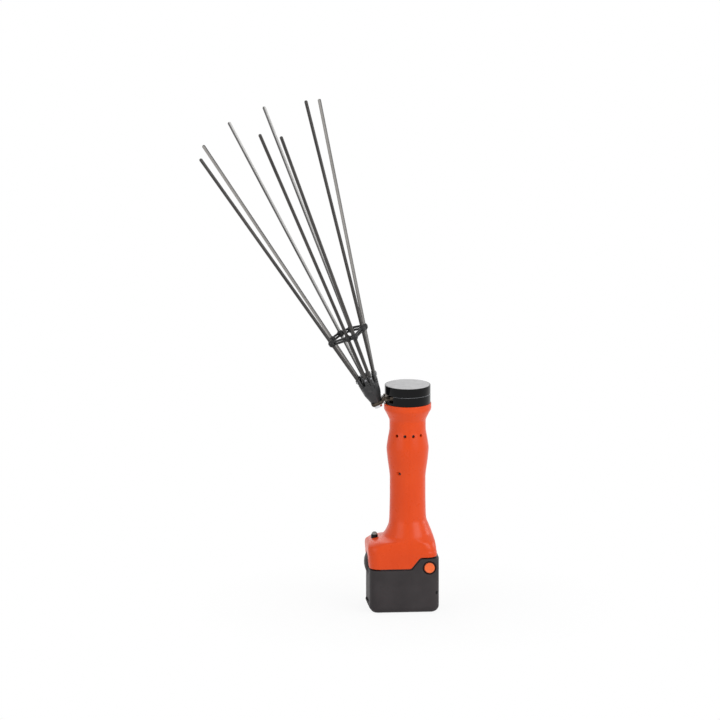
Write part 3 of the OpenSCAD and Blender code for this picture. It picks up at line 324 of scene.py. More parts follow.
def settle(piece: bpy.types.Object) -> None:
    """Turns a piece's modifiers into its plain mesh.

    Args:
        piece: The piece to change.
    """
    graph = bpy.context.evaluated_depsgraph_get()
    mesh = bpy.data.meshes.new_from_object(piece.evaluated_get(graph), depsgraph=graph)
    piece.modifiers.clear()
    old, piece.data = piece.data, mesh
    bpy.data.meshes.remove(old)
    mesh.name = piece.name


def combine(piece: bpy.types.Object, shape: Shape, way: str) -> None:
    """Cuts a shape out of a piece, or joins it on.

    Args:
        piece: The piece to change.
        shape: The shape in millimetres.
        way: DIFFERENCE or UNION.
    """
    tool = make_mesh(piece.name + "_tool", shape)
    change = piece.modifiers.new("change", "BOOLEAN")
    change.operation, change.solver, change.object = way, "EXACT", tool
    settle(piece)
    discard(tool)


def soften(piece: bpy.types.Object, width: float, segments: int = 3, angle: float = 32.0) -> None:
    """Rounds a piece's sharp edges.

    Args:
        piece: The piece to change.
        width: The rounding's width in millimetres.
        segments: How many steps it has.
        angle: The smallest edge angle that it rounds, in degrees.
    """
    edge = piece.modifiers.new("edge", "BEVEL")
    edge.width, edge.segments, edge.limit_method = width * MM, segments, "ANGLE"
    edge.angle_limit = math.radians(angle)
    settle(piece)


def smooth(piece: bpy.types.Object, angle: float = 34.0) -> None:
    """Shades a piece smoothly, apart from edges sharper than an angle in degrees.

    Args:
        piece: The piece to shade.
        angle: The sharpest edge that is shaded smooth, in degrees.
    """
    mesh = piece.data
    mesh.polygons.foreach_set("use_smooth", [True] * len(mesh.polygons))
    mesh.set_sharp_from_angle(angle=math.radians(angle))


def copy_of_node(frame: dict[str, Any], node: str, name: str) -> bpy.types.Object:
    """Copies a CAD node's mesh and joins its loose triangles.

    Args:
        frame: The loaded frame.
        node: The node's name.
        name: The new piece's name.

    Returns:
        The new piece.
    """
    mesh = frame["nodes"][node].data.copy()
    mesh.name = name
    mesh.materials.clear()
    made = bmesh.new()
    made.from_mesh(mesh)
    bmesh.ops.remove_doubles(made, verts=made.verts, dist=NODE_MERGE)
    bmesh.ops.dissolve_limit(made, angle_limit=math.radians(0.6), verts=made.verts, edges=made.edges)
    made.to_mesh(mesh)
    made.free()
    if mesh.has_custom_normals:
        mesh.attributes.remove(mesh.attributes["custom_normal"])
    return put(name, mesh)


def hand_over(piece: bpy.types.Object, material: bpy.types.Material, body: Body,
              nodes: Sequence[str] = ()) -> None:
    """Dresses a finished piece and tells the frame where it belongs.

    Args:
        piece: The finished piece.
        material: Its material.
        body: The body that it rides on.
        nodes: The CAD nodes that it stands for.
    """
    piece.data.materials.clear()
    piece.data.materials.append(material)
    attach(piece, body.value)
    if nodes:
        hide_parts(*nodes)
    log.info("%s on %s: %d faces", piece.name, body.value, len(piece.data.polygons))


# Geometry Nodes trees

class CopyTree:
    """Sets copies of one object on a mesh's points, each turned by the point's own attribute."""

    TURN = "turn"

    def __init__(self) -> None:
        """Builds the tree once."""
        self.tree = tree = bpy.data.node_groups.new("set_copies", "GeometryNodeTree")
        face = tree.interface
        face.new_socket("Geometry", in_out="INPUT", socket_type="NodeSocketGeometry")
        self.copy_id = face.new_socket("Copy", in_out="INPUT", socket_type="NodeSocketObject").identifier
        self.size_id = face.new_socket("Copy Size", in_out="INPUT", socket_type="NodeSocketFloat").identifier
        self.finish_id = face.new_socket("Finish", in_out="INPUT", socket_type="NodeSocketMaterial").identifier
        face.new_socket("Geometry", in_out="OUTPUT", socket_type="NodeSocketGeometry")
        wiring = Wiring(tree)
        given, out = wiring.node("NodeGroupInput"), wiring.node("NodeGroupOutput")
        source = wiring.node("GeometryNodeObjectInfo")
        turn = wiring.node("GeometryNodeInputNamedAttribute", data_type="QUATERNION")
        turn.inputs["Name"].default_value = self.TURN
        place = wiring.node("GeometryNodeInstanceOnPoints")
        whole = wiring.node("GeometryNodeRealizeInstances")
        dress = wiring.node("GeometryNodeSetMaterial")
        wiring.join(given.outputs["Copy"], source.inputs["Object"])
        wiring.join(given.outputs["Geometry"], place.inputs["Points"])
        wiring.join(source.outputs["Geometry"], place.inputs["Instance"])
        wiring.join(turn.outputs["Attribute"], place.inputs["Rotation"])
        wiring.join(given.outputs["Copy Size"], place.inputs["Scale"])
        wiring.join(place.outputs["Instances"], whole.inputs["Geometry"])
        wiring.join(whole.outputs["Geometry"], dress.inputs["Geometry"])
        wiring.join(given.outputs["Finish"], dress.inputs["Material"])
        wiring.join(dress.outputs["Geometry"], out.inputs["Geometry"])

    def make(self, name: str, shape: Shape, places: Sequence[Matrix],
             material: bpy.types.Material) -> bpy.types.Object:
        """Makes one plain mesh of all the copies.

        Args:
            name: The new piece's name.
            shape: The shape to copy, in millimetres.
            places: Where each copy stands, in millimetres.
            material: The copies' material.

        Returns:
            The piece.
        """
        source = make_mesh(name + "_copy", shape)
        mesh = bpy.data.meshes.new(name)
        mesh.from_pydata([tuple(m.to_translation() * MM) for m in places], [], [])
        turns = mesh.attributes.new(self.TURN, "QUATERNION", "POINT")
        for row, m in zip(turns.data, places):
            row.value = tuple(m.to_quaternion())
        piece = put(name, mesh)
        copies = piece.modifiers.new("copies", "NODES")
        copies.node_group = self.tree
        copies[self.copy_id], copies[self.size_id], copies[self.finish_id] = source, 1.0, material
        settle(piece)
        discard(source)
        smooth(piece)
        return piece


class SweepTree:
    """Sweeps a round section along a mesh's edges."""

    def __init__(self) -> None:
        """Builds the tree once."""
        self.tree = tree = bpy.data.node_groups.new("swept_links", "GeometryNodeTree")
        face = tree.interface
        face.new_socket("Geometry", in_out="INPUT", socket_type="NodeSocketGeometry")
        self.radius_id = face.new_socket("Radius", in_out="INPUT", socket_type="NodeSocketFloat").identifier
        self.sides_id = face.new_socket("Sides", in_out="INPUT", socket_type="NodeSocketInt").identifier
        self.finish_id = face.new_socket("Finish", in_out="INPUT", socket_type="NodeSocketMaterial").identifier
        face.new_socket("Geometry", in_out="OUTPUT", socket_type="NodeSocketGeometry")
        wiring = Wiring(tree)
        given, out = wiring.node("NodeGroupInput"), wiring.node("NodeGroupOutput")
        path = wiring.node("GeometryNodeMeshToCurve")
        ring = wiring.node("GeometryNodeCurvePrimitiveCircle")
        tube = wiring.node("GeometryNodeCurveToMesh")
        tube.inputs["Fill Caps"].default_value = True
        whole = wiring.node("GeometryNodeRealizeInstances")
        dress = wiring.node("GeometryNodeSetMaterial")
        wiring.join(given.outputs["Geometry"], path.inputs["Mesh"])
        wiring.join(given.outputs["Radius"], ring.inputs["Radius"])
        wiring.join(given.outputs["Sides"], ring.inputs["Resolution"])
        wiring.join(path.outputs["Curve"], tube.inputs["Curve"])
        wiring.join(ring.outputs["Curve"], tube.inputs["Profile Curve"])
        wiring.join(tube.outputs["Mesh"], whole.inputs["Geometry"])
        wiring.join(whole.outputs["Geometry"], dress.inputs["Geometry"])
        wiring.join(given.outputs["Finish"], dress.inputs["Material"])
        wiring.join(dress.outputs["Geometry"], out.inputs["Geometry"])

    def make(self, name: str, paths: Sequence[Sequence[Vector]], radius: float, sides: int,
             material: bpy.types.Material) -> bpy.types.Object:
        """Makes one plain mesh of all the tubes.

        Args:
            name: The new piece's name.
            paths: The points of each path, in millimetres.
            radius: The tube's radius in millimetres.
            sides: How many sides the section has.
            material: The tubes' material.

        Returns:
            The piece.
        """
        points: list[tuple[float, ...]] = []
        edges: list[tuple[int, int]] = []
        for path in paths:
            start = len(points)
            points.extend(tuple(p * MM) for p in path)
            edges.extend((start + i, start + i + 1) for i in range(len(path) - 1))
        mesh = bpy.data.meshes.new(name)
        mesh.from_pydata(points, edges, [])
        piece = put(name, mesh)
        sweep = piece.modifiers.new("sweep", "NODES")
        sweep.node_group = self.tree
        sweep[self.radius_id], sweep[self.sides_id], sweep[self.finish_id] = radius * MM, sides, material
        settle(piece)
        smooth(piece, 50)
        return piece


# Materials

class Wiring:
    """Adds nodes to a tree and joins their sockets."""

    def __init__(self, tree: bpy.types.NodeTree) -> None:
        """Keeps the tree."""
        self.tree = tree

    def node(self, kind: str, **settings: Any) -> bpy.types.Node:
        """Adds a node.

        Args:
            kind: The node's type.
            settings: Its properties.

        Returns:
            The node.
        """
        made = self.tree.nodes.new(kind)
        for key, value in settings.items():
            setattr(made, key, value)
        return made

    def join(self, source: bpy.types.NodeSocket, target: bpy.types.NodeSocket) -> None:
        """Joins an output to an input."""
        self.tree.links.new(source, target)

    def noise(self, vector: bpy.types.NodeSocket, scale: Any, detail: float, rough: float) -> bpy.types.Node:
        """Adds a noise texture.

        Args:
            vector: The coordinates.
            scale: The scale, as a number or a socket.
            detail: How many octaves it has.
            rough: How strong the finer octaves are.

        Returns:
            The noise node.
        """
        made = self.node("ShaderNodeTexNoise")
        made.inputs["Detail"].default_value = detail
        made.inputs["Roughness"].default_value = rough
        self.join(vector, made.inputs["Vector"])
        if isinstance(scale, bpy.types.NodeSocket):
            self.join(scale, made.inputs["Scale"])
        else:
            made.inputs["Scale"].default_value = scale
        return made

    def spread(self, value: bpy.types.NodeSocket, low: float, high: float, to_low: Any = 0.0,
               to_high: Any = 1.0) -> bpy.types.NodeSocket:
        """Adds a clamped map range.

        Args:
            value: The value to map.
            low: The lowest value that counts.
            high: The highest value that counts.
            to_low: What the lowest becomes, as a number or a socket.
            to_high: What the highest becomes, as a number or a socket.

        Returns:
            The mapped value.
        """
        made = self.node("ShaderNodeMapRange")
        self.join(value, made.inputs["Value"])
        made.inputs["From Min"].default_value = low
        made.inputs["From Max"].default_value = high
        for socket, wanted in (("To Min", to_low), ("To Max", to_high)):
            if isinstance(wanted, bpy.types.NodeSocket):
                self.join(wanted, made.inputs[socket])
            else:
                made.inputs[socket].default_value = wanted
        return made.outputs["Result"]

    def any_of(self, *sockets: bpy.types.NodeSocket) -> bpy.types.NodeSocket:
        """Adds nodes that give the largest of several values.

        Args:
            sockets: The values.

        Returns:
            The largest.
        """
        found = sockets[0]
        for socket in sockets[1:]:
            most = self.node("ShaderNodeMath", operation="MAXIMUM")
            self.join(found, most.inputs[0])
            self.join(socket, most.inputs[1])
            found = most.outputs[0]
        return found

    def blend(self, share: bpy.types.NodeSocket, first: Any, second: Any) -> bpy.types.NodeSocket:
        """Adds a colour mix.

        Args:
            share: How much of the second colour there is.
            first: The first colour, or a socket.
            second: The second colour, or a socket.

        Returns:
            The mixed colour.
        """
        made = self.node("ShaderNodeMix", data_type="RGBA")
        self.join(share, made.inputs[0])
        for socket, wanted in ((made.inputs[6], first), (made.inputs[7], second)):
            if isinstance(wanted, bpy.types.NodeSocket):
                self.join(wanted, socket)
            else:
                socket.default_value = wanted
        return made.outputs[2]


def linear(colour: Colour) -> tuple[float, float, float, float]:
    """Turns a screen colour from 0 to 255 into a linear one.

    Args:
        colour: The screen colour.

    Returns:
        The linear colour with an alpha of 1.
    """
    parts = [c / 255 for c in colour]
    low, high = 0.04045, 2.4
    r, g, b = (c / 12.92 if c <= low else ((c + 0.055) / 1.055) ** high for c in parts)
    return (r, g, b, 1.0)


class Effects:
    """Shader node groups that more than one material uses."""

    def __init__(self) -> None:
        """Builds the groups once."""
        self.grain = self._grain()
        self.rub = self._rub()
        self.brushed = self._brushed()

    @staticmethod
    def _group(name: str, inputs: Sequence[str], outputs: Sequence[str]) -> tuple[Any, Wiring, Any, Any]:
        """Starts a group with float sockets.

        Args:
            name: The group's name.
            inputs: The names of its inputs.
            outputs: The names of its outputs.

        Returns:
            The group, its wiring, its input node and its output node.
        """
        tree = bpy.data.node_groups.new(name, "ShaderNodeTree")
        for socket in inputs:
            tree.interface.new_socket(socket, in_out="INPUT", socket_type="NodeSocketFloat")
        for socket in outputs:
            tree.interface.new_socket(socket, in_out="OUTPUT", socket_type="NodeSocketFloat")
        wiring = Wiring(tree)
        return tree, wiring, wiring.node("NodeGroupInput"), wiring.node("NodeGroupOutput")

    def _grain(self) -> bpy.types.NodeTree:
        """Builds the grain of a moulding: its fine height, its slow blotches and its uneven gloss.

        Returns:
            The group.
        """
        tree, wiring, given, out = self._group(
            "moulded_grain", ["Grain Scale", "Blotch Scale", "Low Roughness", "High Roughness"],
            ["Height", "Blotch", "Roughness"])
        place = wiring.node("ShaderNodeTexCoord").outputs["Object"]
        fine = wiring.noise(place, given.outputs["Grain Scale"], 3.0, 0.55)
        slow = wiring.noise(place, given.outputs["Blotch Scale"], 4.0, 0.6)
        patch = wiring.noise(place, 130.0, 3.0, 0.5)
        wiring.join(fine.outputs["Fac"], out.inputs["Height"])
        wiring.join(wiring.spread(slow.outputs["Fac"], 0.3, 0.7), out.inputs["Blotch"])
        wiring.join(wiring.spread(patch.outputs["Fac"], 0.3, 0.7, given.outputs["Low Roughness"],
                                  given.outputs["High Roughness"]), out.inputs["Roughness"])
        return tree

    def _rub(self) -> bpy.types.NodeTree:
        """Builds the rub of use: a mask that is strongest along outer edges and broken up by noise.

        Returns:
            The group.
        """
        tree, wiring, given, out = self._group("edge_rub", ["Reach", "Break Scale"], ["Mask"])
        shape = wiring.node("ShaderNodeNewGeometry").outputs["Pointiness"]
        place = wiring.node("ShaderNodeTexCoord").outputs["Object"]
        broken = wiring.noise(place, given.outputs["Break Scale"], 5.0, 0.65)
        edge = wiring.spread(shape, 0.515, 0.58)
        part = wiring.spread(broken.outputs["Fac"], 0.38, 0.62)
        both = wiring.node("ShaderNodeMath", operation="MULTIPLY")
        wiring.join(edge, both.inputs[0])
        wiring.join(part, both.inputs[1])
        reach = wiring.node("ShaderNodeMath", operation="MULTIPLY", use_clamp=True)
        wiring.join(both.outputs[0], reach.inputs[0])
        wiring.join(given.outputs["Reach"], reach.inputs[1])
        wiring.join(reach.outputs[0], out.inputs["Mask"])
        return tree

    def _brushed(self) -> bpy.types.NodeTree:
        """Builds the marks of worked metal: long streaks, their tone and their gloss.

        Returns:
            The group.
        """
        tree, wiring, given, out = self._group(
            "worked_metal", ["Streak Scale", "Across", "Stretch", "Low Roughness", "High Roughness"],
            ["Height", "Tone", "Roughness"])
        place = wiring.node("ShaderNodeTexCoord").outputs["Object"]
        squeeze = wiring.node("ShaderNodeCombineXYZ")
        squeeze.inputs["Y"].default_value = 1.0
        wiring.join(given.outputs["Across"], squeeze.inputs["X"])
        wiring.join(given.outputs["Stretch"], squeeze.inputs["Z"])
        turn = wiring.node("ShaderNodeVectorMath", operation="MULTIPLY")
        wiring.join(place, turn.inputs[0])
        wiring.join(squeeze.outputs["Vector"], turn.inputs[1])
        streak = wiring.noise(turn.outputs["Vector"], given.outputs["Streak Scale"], 4.0, 0.6)
        slow = wiring.noise(place, 160.0, 3.0, 0.55)
        wiring.join(streak.outputs["Fac"], out.inputs["Height"])
        wiring.join(wiring.spread(slow.outputs["Fac"], 0.3, 0.7), out.inputs["Tone"])
        wiring.join(wiring.spread(streak.outputs["Fac"], 0.3, 0.7, given.outputs["Low Roughness"],
                                  given.outputs["High Roughness"]), out.inputs["Roughness"])
        return tree


@dataclass(frozen=True)
class Finish:
    """A finish that every material starts from: a grained surface with blotches of two colours."""

    name: str
    dark: Colour
    light: Colour
    rough: tuple[float, float]
    grain: float = 2600.0
    depth: float = 0.02
    blotch: float = 22.0
    specular: float = 0.5
    metal: float = 0.0
    rub: float = 0.0
    rubbed: Colour = (200, 200, 200)
    rub_scale: float = 420.0

    def start(self) -> tuple[bpy.types.Material, Wiring, bpy.types.Node]:
        """Starts the material.

        Returns:
            The material, its wiring and its shader.
        """
        material = bpy.data.materials.new(self.name)
        material.use_nodes = True
        wiring = Wiring(material.node_tree)
        shader = material.node_tree.nodes["Principled BSDF"]
        shader.inputs["Specular IOR Level"].default_value = self.specular
        shader.inputs["Metallic"].default_value = self.metal
        return material, wiring, shader

    def bump(self, wiring: Wiring, shader: bpy.types.Node, height: bpy.types.NodeSocket) -> None:
        """Feeds a height to the shader's normal.

        Args:
            wiring: The material's wiring.
            shader: The material's shader.
            height: The height.
        """
        bump = wiring.node("ShaderNodeBump")
        bump.inputs["Strength"].default_value = 1.0
        bump.inputs["Distance"].default_value = self.depth * MM
        wiring.join(height, bump.inputs["Height"])
        wiring.join(bump.outputs["Normal"], shader.inputs["Normal"])

    def worn(self, wiring: Wiring, effects: Effects, colour: bpy.types.NodeSocket) -> bpy.types.NodeSocket:
        """Lays the rub of use over a colour.

        Args:
            wiring: The material's wiring.
            effects: The shared groups.
            colour: The colour under it.

        Returns:
            The worn colour.
        """
        if not self.rub:
            return colour
        rub = wiring.node("ShaderNodeGroup", node_tree=effects.rub)
        rub.inputs["Reach"].default_value = self.rub
        rub.inputs["Break Scale"].default_value = self.rub_scale
        return wiring.blend(rub.outputs["Mask"], colour, linear(self.rubbed))

    def build(self, effects: Effects) -> bpy.types.Material:
        """Builds the material.

        Args:
            effects: The shared groups.

        Returns:
            The material.
        """
        material, wiring, shader = self.start()
        grain = wiring.node("ShaderNodeGroup", node_tree=effects.grain)
        grain.inputs["Grain Scale"].default_value = self.grain
        grain.inputs["Blotch Scale"].default_value = self.blotch
        grain.inputs["Low Roughness"].default_value = self.rough[0]
        grain.inputs["High Roughness"].default_value = self.rough[1]
        colour = wiring.blend(grain.outputs["Blotch"], linear(self.dark), linear(self.light))
        wiring.join(self.worn(wiring, effects, colour), shader.inputs["Base Color"])
        wiring.join(grain.outputs["Roughness"], shader.inputs["Roughness"])
        self.bump(wiring, shader, grain.outputs["Height"])
        return material


@dataclass(frozen=True)
class MetalFinish(Finish):
    """A worked metal with streaks along one direction."""

    streak: float = 900.0
    across: float = 1.0
    stretch: float = 0.08
    metal: float = 1.0

    def build(self, effects: Effects) -> bpy.types.Material:
        """Builds the material.

        Args:
            effects: The shared groups.

        Returns:
            The material.
        """
        material, wiring, shader = self.start()
        worked = wiring.node("ShaderNodeGroup", node_tree=effects.brushed)
        worked.inputs["Streak Scale"].default_value = self.streak
        worked.inputs["Across"].default_value = self.across
        worked.inputs["Stretch"].default_value = self.stretch
        worked.inputs["Low Roughness"].default_value = self.rough[0]
        worked.inputs["High Roughness"].default_value = self.rough[1]
        colour = wiring.blend(worked.outputs["Tone"], linear(self.dark), linear(self.light))
        wiring.join(self.worn(wiring, effects, colour), shader.inputs["Base Color"])
        wiring.join(worked.outputs["Roughness"], shader.inputs["Roughness"])
        self.bump(wiring, shader, worked.outputs["Height"])
        return material


@dataclass(frozen=True)
class FibreFinish(Finish):
    """Drawn fibre rod: lengthwise streaks that follow the rod's own map, and a painted highlight: a pale band along
    one flank.
    """

    bands: float = 9.0
    # How strong the painted highlight along one flank is, and where it lies round the rod, from 0 to 1, turned
    # towards the side where light falls
    highlight_flank: float = 0.0
    highlight_flank_at: float = 0.7
    highlight_flank_span: tuple[float, float] = (0.15, 0.95)
    # Scale of the streaks along the rod, and of the fine fibre round and along it
    band_run: float = 0.7
    fibre: tuple[float, float] = (120.0, 9.0)

    def build(self, effects: Effects) -> bpy.types.Material:
        """Builds the material.

        Args:
            effects: The shared groups.

        Returns:
            The material.
        """
        material, wiring, shader = self.start()
        place = wiring.node("ShaderNodeTexCoord").outputs["UV"]
        long_map = wiring.node("ShaderNodeMapping")
        long_map.inputs["Scale"].default_value = (self.bands, self.band_run, 1.0)
        wiring.join(place, long_map.inputs["Vector"])
        streak = wiring.noise(long_map.outputs["Vector"], 1.0, 4.0, 0.6)
        fine_map = wiring.node("ShaderNodeMapping")
        fine_map.inputs["Scale"].default_value = (*self.fibre, 1.0)
        wiring.join(place, fine_map.inputs["Vector"])
        fine = wiring.noise(fine_map.outputs["Vector"], 1.0, 3.0, 0.6)
        tone = wiring.spread(streak.outputs["Fac"], 0.32, 0.68)
        # The pale band added here is a painted highlight on the rod's lit flank
        if self.highlight_flank:
            tone = self._painted_flank_highlight(wiring, place, tone)
        colour = wiring.blend(tone, linear(self.dark), linear(self.light))
        wiring.join(self.worn(wiring, effects, colour), shader.inputs["Base Color"])
        wiring.join(wiring.spread(fine.outputs["Fac"], 0.3, 0.7, self.rough[0], self.rough[1]),
                    shader.inputs["Roughness"])
        self.bump(wiring, shader, fine.outputs["Fac"])
        return material

    def _painted_flank_highlight(self, wiring: Wiring, place: bpy.types.NodeSocket,
                 tone: bpy.types.NodeSocket) -> bpy.types.NodeSocket:
        """Mixes the painted highlight along one flank into the streaks.

        Args:
            wiring: The material's wiring.
            place: The rod's own map.
            tone: The streaks.

        Returns:
            The mixed tone.
        """
        parts = wiring.node("ShaderNodeSeparateXYZ")
        wiring.join(place, parts.inputs[0])
        turn = wiring.node("ShaderNodeMath", operation="MULTIPLY_ADD")
        wiring.join(parts.outputs["X"], turn.inputs[0])
        turn.inputs[1].default_value = 2 * math.pi
        turn.inputs[2].default_value = -2 * math.pi * self.highlight_flank_at
        wave = wiring.node("ShaderNodeMath", operation="COSINE")
        wiring.join(turn.outputs[0], wave.inputs[0])
        # Painted highlight: a pale band at one angle round the rod, on the side where light falls
        side = wiring.spread(wave.outputs[0], *self.highlight_flank_span, 0.0, self.highlight_flank)
        rest = wiring.node("ShaderNodeMath", operation="MULTIPLY_ADD", use_clamp=True)
        wiring.join(tone, rest.inputs[0])
        rest.inputs[1].default_value = 1 - self.highlight_flank
        wiring.join(side, rest.inputs[2])
        return rest.outputs[0]


class Look(Enum):
    """The finishes of this object."""

    ORANGE_SHELL = Finish("orange_shell", (220, 70, 17), (228, 77, 23), (0.26, 0.35), 3000.0, 0.005, 18.0,
                          specular=0.24)
    HEAD_BLACK = Finish("head_black", (8, 8, 9), (13, 13, 14), (0.1, 0.17), 2400.0, 0.004, 30.0, specular=0.16,
                        rub=0.15, rubbed=(70, 70, 70))
    CARRIER_BLACK = Finish("carrier_black", (42, 42, 43), (55, 55, 56), (0.36, 0.5), 2000.0, 0.02, 60.0, specular=0.3,
                           rub=0.3, rubbed=(110, 110, 110))
    COLLAR_BLACK = Finish("collar_black", (26, 26, 27), (36, 36, 37), (0.18, 0.28), 2000.0, 0.01, 60.0, specular=0.55,
                          rub=0.35, rubbed=(150, 150, 150))
    # Light steel of the clamp screws, also used for the head's edge line, where its light grey is a painted highlight
    LINE_STEEL = MetalFinish("line_steel", (118, 119, 122), (144, 145, 148), (0.24, 0.36), depth=0.004)
    DARK_SCREW = MetalFinish("dark_screw", (20, 18, 18), (32, 29, 28), (0.5, 0.64), depth=0.006, metal=0.4)
    TOP_GREY = MetalFinish("top_grey", (188, 188, 189), (205, 205, 206), (0.52, 0.66), depth=0.01, specular=0.16,
                           metal=0.1, streak=1400.0, across=0.06)
    PACK_GREY = Finish("pack_grey", (57, 54, 55), (67, 63, 64), (0.46, 0.58), 2200.0, 0.02, 24.0, specular=0.08,
                       rub=0.15, rubbed=(96, 93, 94))
    LID_GREY = Finish("lid_grey", (44, 43, 44), (52, 51, 52), (0.5, 0.6), 2200.0, 0.02, 30.0, specular=0.25)
    # Dark red-brown ring round the release buttons: painted shade of the gap there, with a painted reflection of the
    # orange
    SEAL_DARK = Finish("seal_dark", (30, 11, 8), (40, 15, 11), (0.5, 0.64), 1800.0, 0.02, 60.0, specular=0.12)
    BUTTON_ORANGE = Finish("button_orange", (242, 106, 50), (248, 117, 62), (0.3, 0.42), 3000.0, 0.01, 40.0,
                           specular=0.3)
    BUTTON_PALE = Finish("button_pale", (104, 108, 105), (126, 130, 126), (0.26, 0.36), 3000.0, 0.01, 80.0,
                         specular=0.45)
    ROD_FIBRE = FibreFinish("rod_fibre", (24, 22, 22), (64, 60, 56), (0.2, 0.32), depth=0.004,
                            specular=0.5, bands=3.4)
    # Lit copies of the rod fibre: their light colour and pale flank are painted highlight, strong in the first and
    # weaker in the second
    ROD_PALE = FibreFinish("rod_pale", (40, 38, 37), (212, 211, 209), (0.18, 0.3), depth=0.004,
                           specular=0.5, bands=2.6, highlight_flank=0.8, highlight_flank_at=0.72)
    ROD_MID = FibreFinish("rod_mid", (32, 30, 29), (164, 161, 157), (0.18, 0.3), depth=0.004, specular=0.5, bands=2.6,
                          highlight_flank=0.8, highlight_flank_at=0.4)
    BRACE_RUBBER = Finish("brace_rubber", (14, 14, 15), (24, 24, 25), (0.32, 0.5), 1800.0, 0.03, 60.0, specular=0.35)
    LEVER_STEEL = MetalFinish("lever_steel", (62, 55, 49), (88, 78, 68), (0.36, 0.52), depth=0.01,
                              rub=0.4, rubbed=(150, 142, 132))
    BRACKET_STEEL = MetalFinish("bracket_steel", (42, 38, 34), (62, 55, 48), (0.4, 0.56), depth=0.01,
                                rub=0.4, rubbed=(120, 110, 98))
    NUT_STEEL = MetalFinish("nut_steel", (112, 106, 100), (146, 140, 133), (0.26, 0.38), depth=0.004)
    BRIGHT_STEEL = MetalFinish("bright_steel", (196, 197, 200), (222, 222, 224), (0.16, 0.28), depth=0.004)
    MOTOR_STEEL = MetalFinish("motor_steel", (150, 152, 156), (178, 180, 184), (0.28, 0.42), depth=0.005)
    COPPER_CORE = MetalFinish("copper_core", (150, 92, 58), (186, 118, 76), (0.3, 0.45), depth=0.008)
    LIGHT_ALLOY = MetalFinish("light_alloy", (186, 188, 190), (206, 208, 210), (0.3, 0.44), depth=0.006)
    GEAR_BRASS = MetalFinish("gear_brass", (186, 150, 78), (214, 178, 98), (0.24, 0.36), depth=0.005)
    BRONZE = MetalFinish("bronze", (150, 104, 54), (180, 130, 72), (0.3, 0.45), depth=0.008)
    CONTACT_BRASS = MetalFinish("contact_brass", (198, 158, 82), (224, 186, 104), (0.2, 0.3), depth=0.004)
    STRAP_NICKEL = MetalFinish("strap_nickel", (190, 190, 184), (212, 212, 206), (0.22, 0.34), depth=0.004)
    CELL_WRAP = Finish("cell_wrap", (38, 88, 140), (52, 104, 156), (0.24, 0.36), 900.0, 0.01, 40.0)
    INNER_PLASTIC = Finish("inner_plastic", (28, 28, 29), (38, 38, 40), (0.45, 0.58), 1800.0, 0.02, 30.0)
    BOARD_GREEN = Finish("board_green", (22, 82, 48), (32, 98, 60), (0.28, 0.4), 1400.0, 0.01, 120.0)
    LEAD_RED = Finish("lead_red", (136, 20, 20), (160, 30, 28), (0.36, 0.5), 900.0, 0.02, 60.0)
    DARK_LENS = Finish("dark_lens", (6, 6, 7), (11, 11, 12), (0.22, 0.32), 600.0, 0.004, 80.0, specular=0.12)


class Palette:
    """Builds each material once, when it is first asked for."""

    def __init__(self) -> None:
        """Starts with the shared groups and no materials."""
        self.effects = Effects()
        self.made: dict[Look, bpy.types.Material] = {}

    def get(self, look: Look) -> bpy.types.Material:
        """Gives a look's material.

        Args:
            look: The look.

        Returns:
            Its material.
        """
        if look not in self.made:
            self.made[look] = look.value.build(self.effects)
        return self.made[look]


@dataclass
class Workshop:
    """What every sub-assembly needs: the frame, the materials and the Geometry Nodes trees."""

    frame: dict[str, Any]
    palette: Palette
    copies: CopyTree
    sweep: SweepTree


# Grip

@dataclass
class PartingLine:
    """The stepped line between the orange foot and the battery pack."""

    low: float = 61.2
    high: float = 76.6
    climb_x: float = 1.5
    level_x: float = 14.0
    gap: float = 1.9
    bend: float = 0.16

    def height(self, x: float, drop: float = 0.0, shift: float = 0.0) -> float:
        """Gives the line's height.

        Args:
            x: The place across the object.
            drop: How far the line is moved down.
            shift: How far its climb is moved across.

        Returns:
            The height.
        """
        u = (x - self.climb_x - shift) / (self.level_x - self.climb_x)
        b = self.bend
        if u <= -b:
            share = 0.0
        elif u < b:
            share = (u + b) ** 2 / (4 * b)
        elif u <= 1 - b:
            share = u
        elif u < 1 + b:
            share = 1 - (1 + b - u) ** 2 / (4 * b)
        else:
            share = 1.0
        return self.low - drop + (self.high - self.low) * share


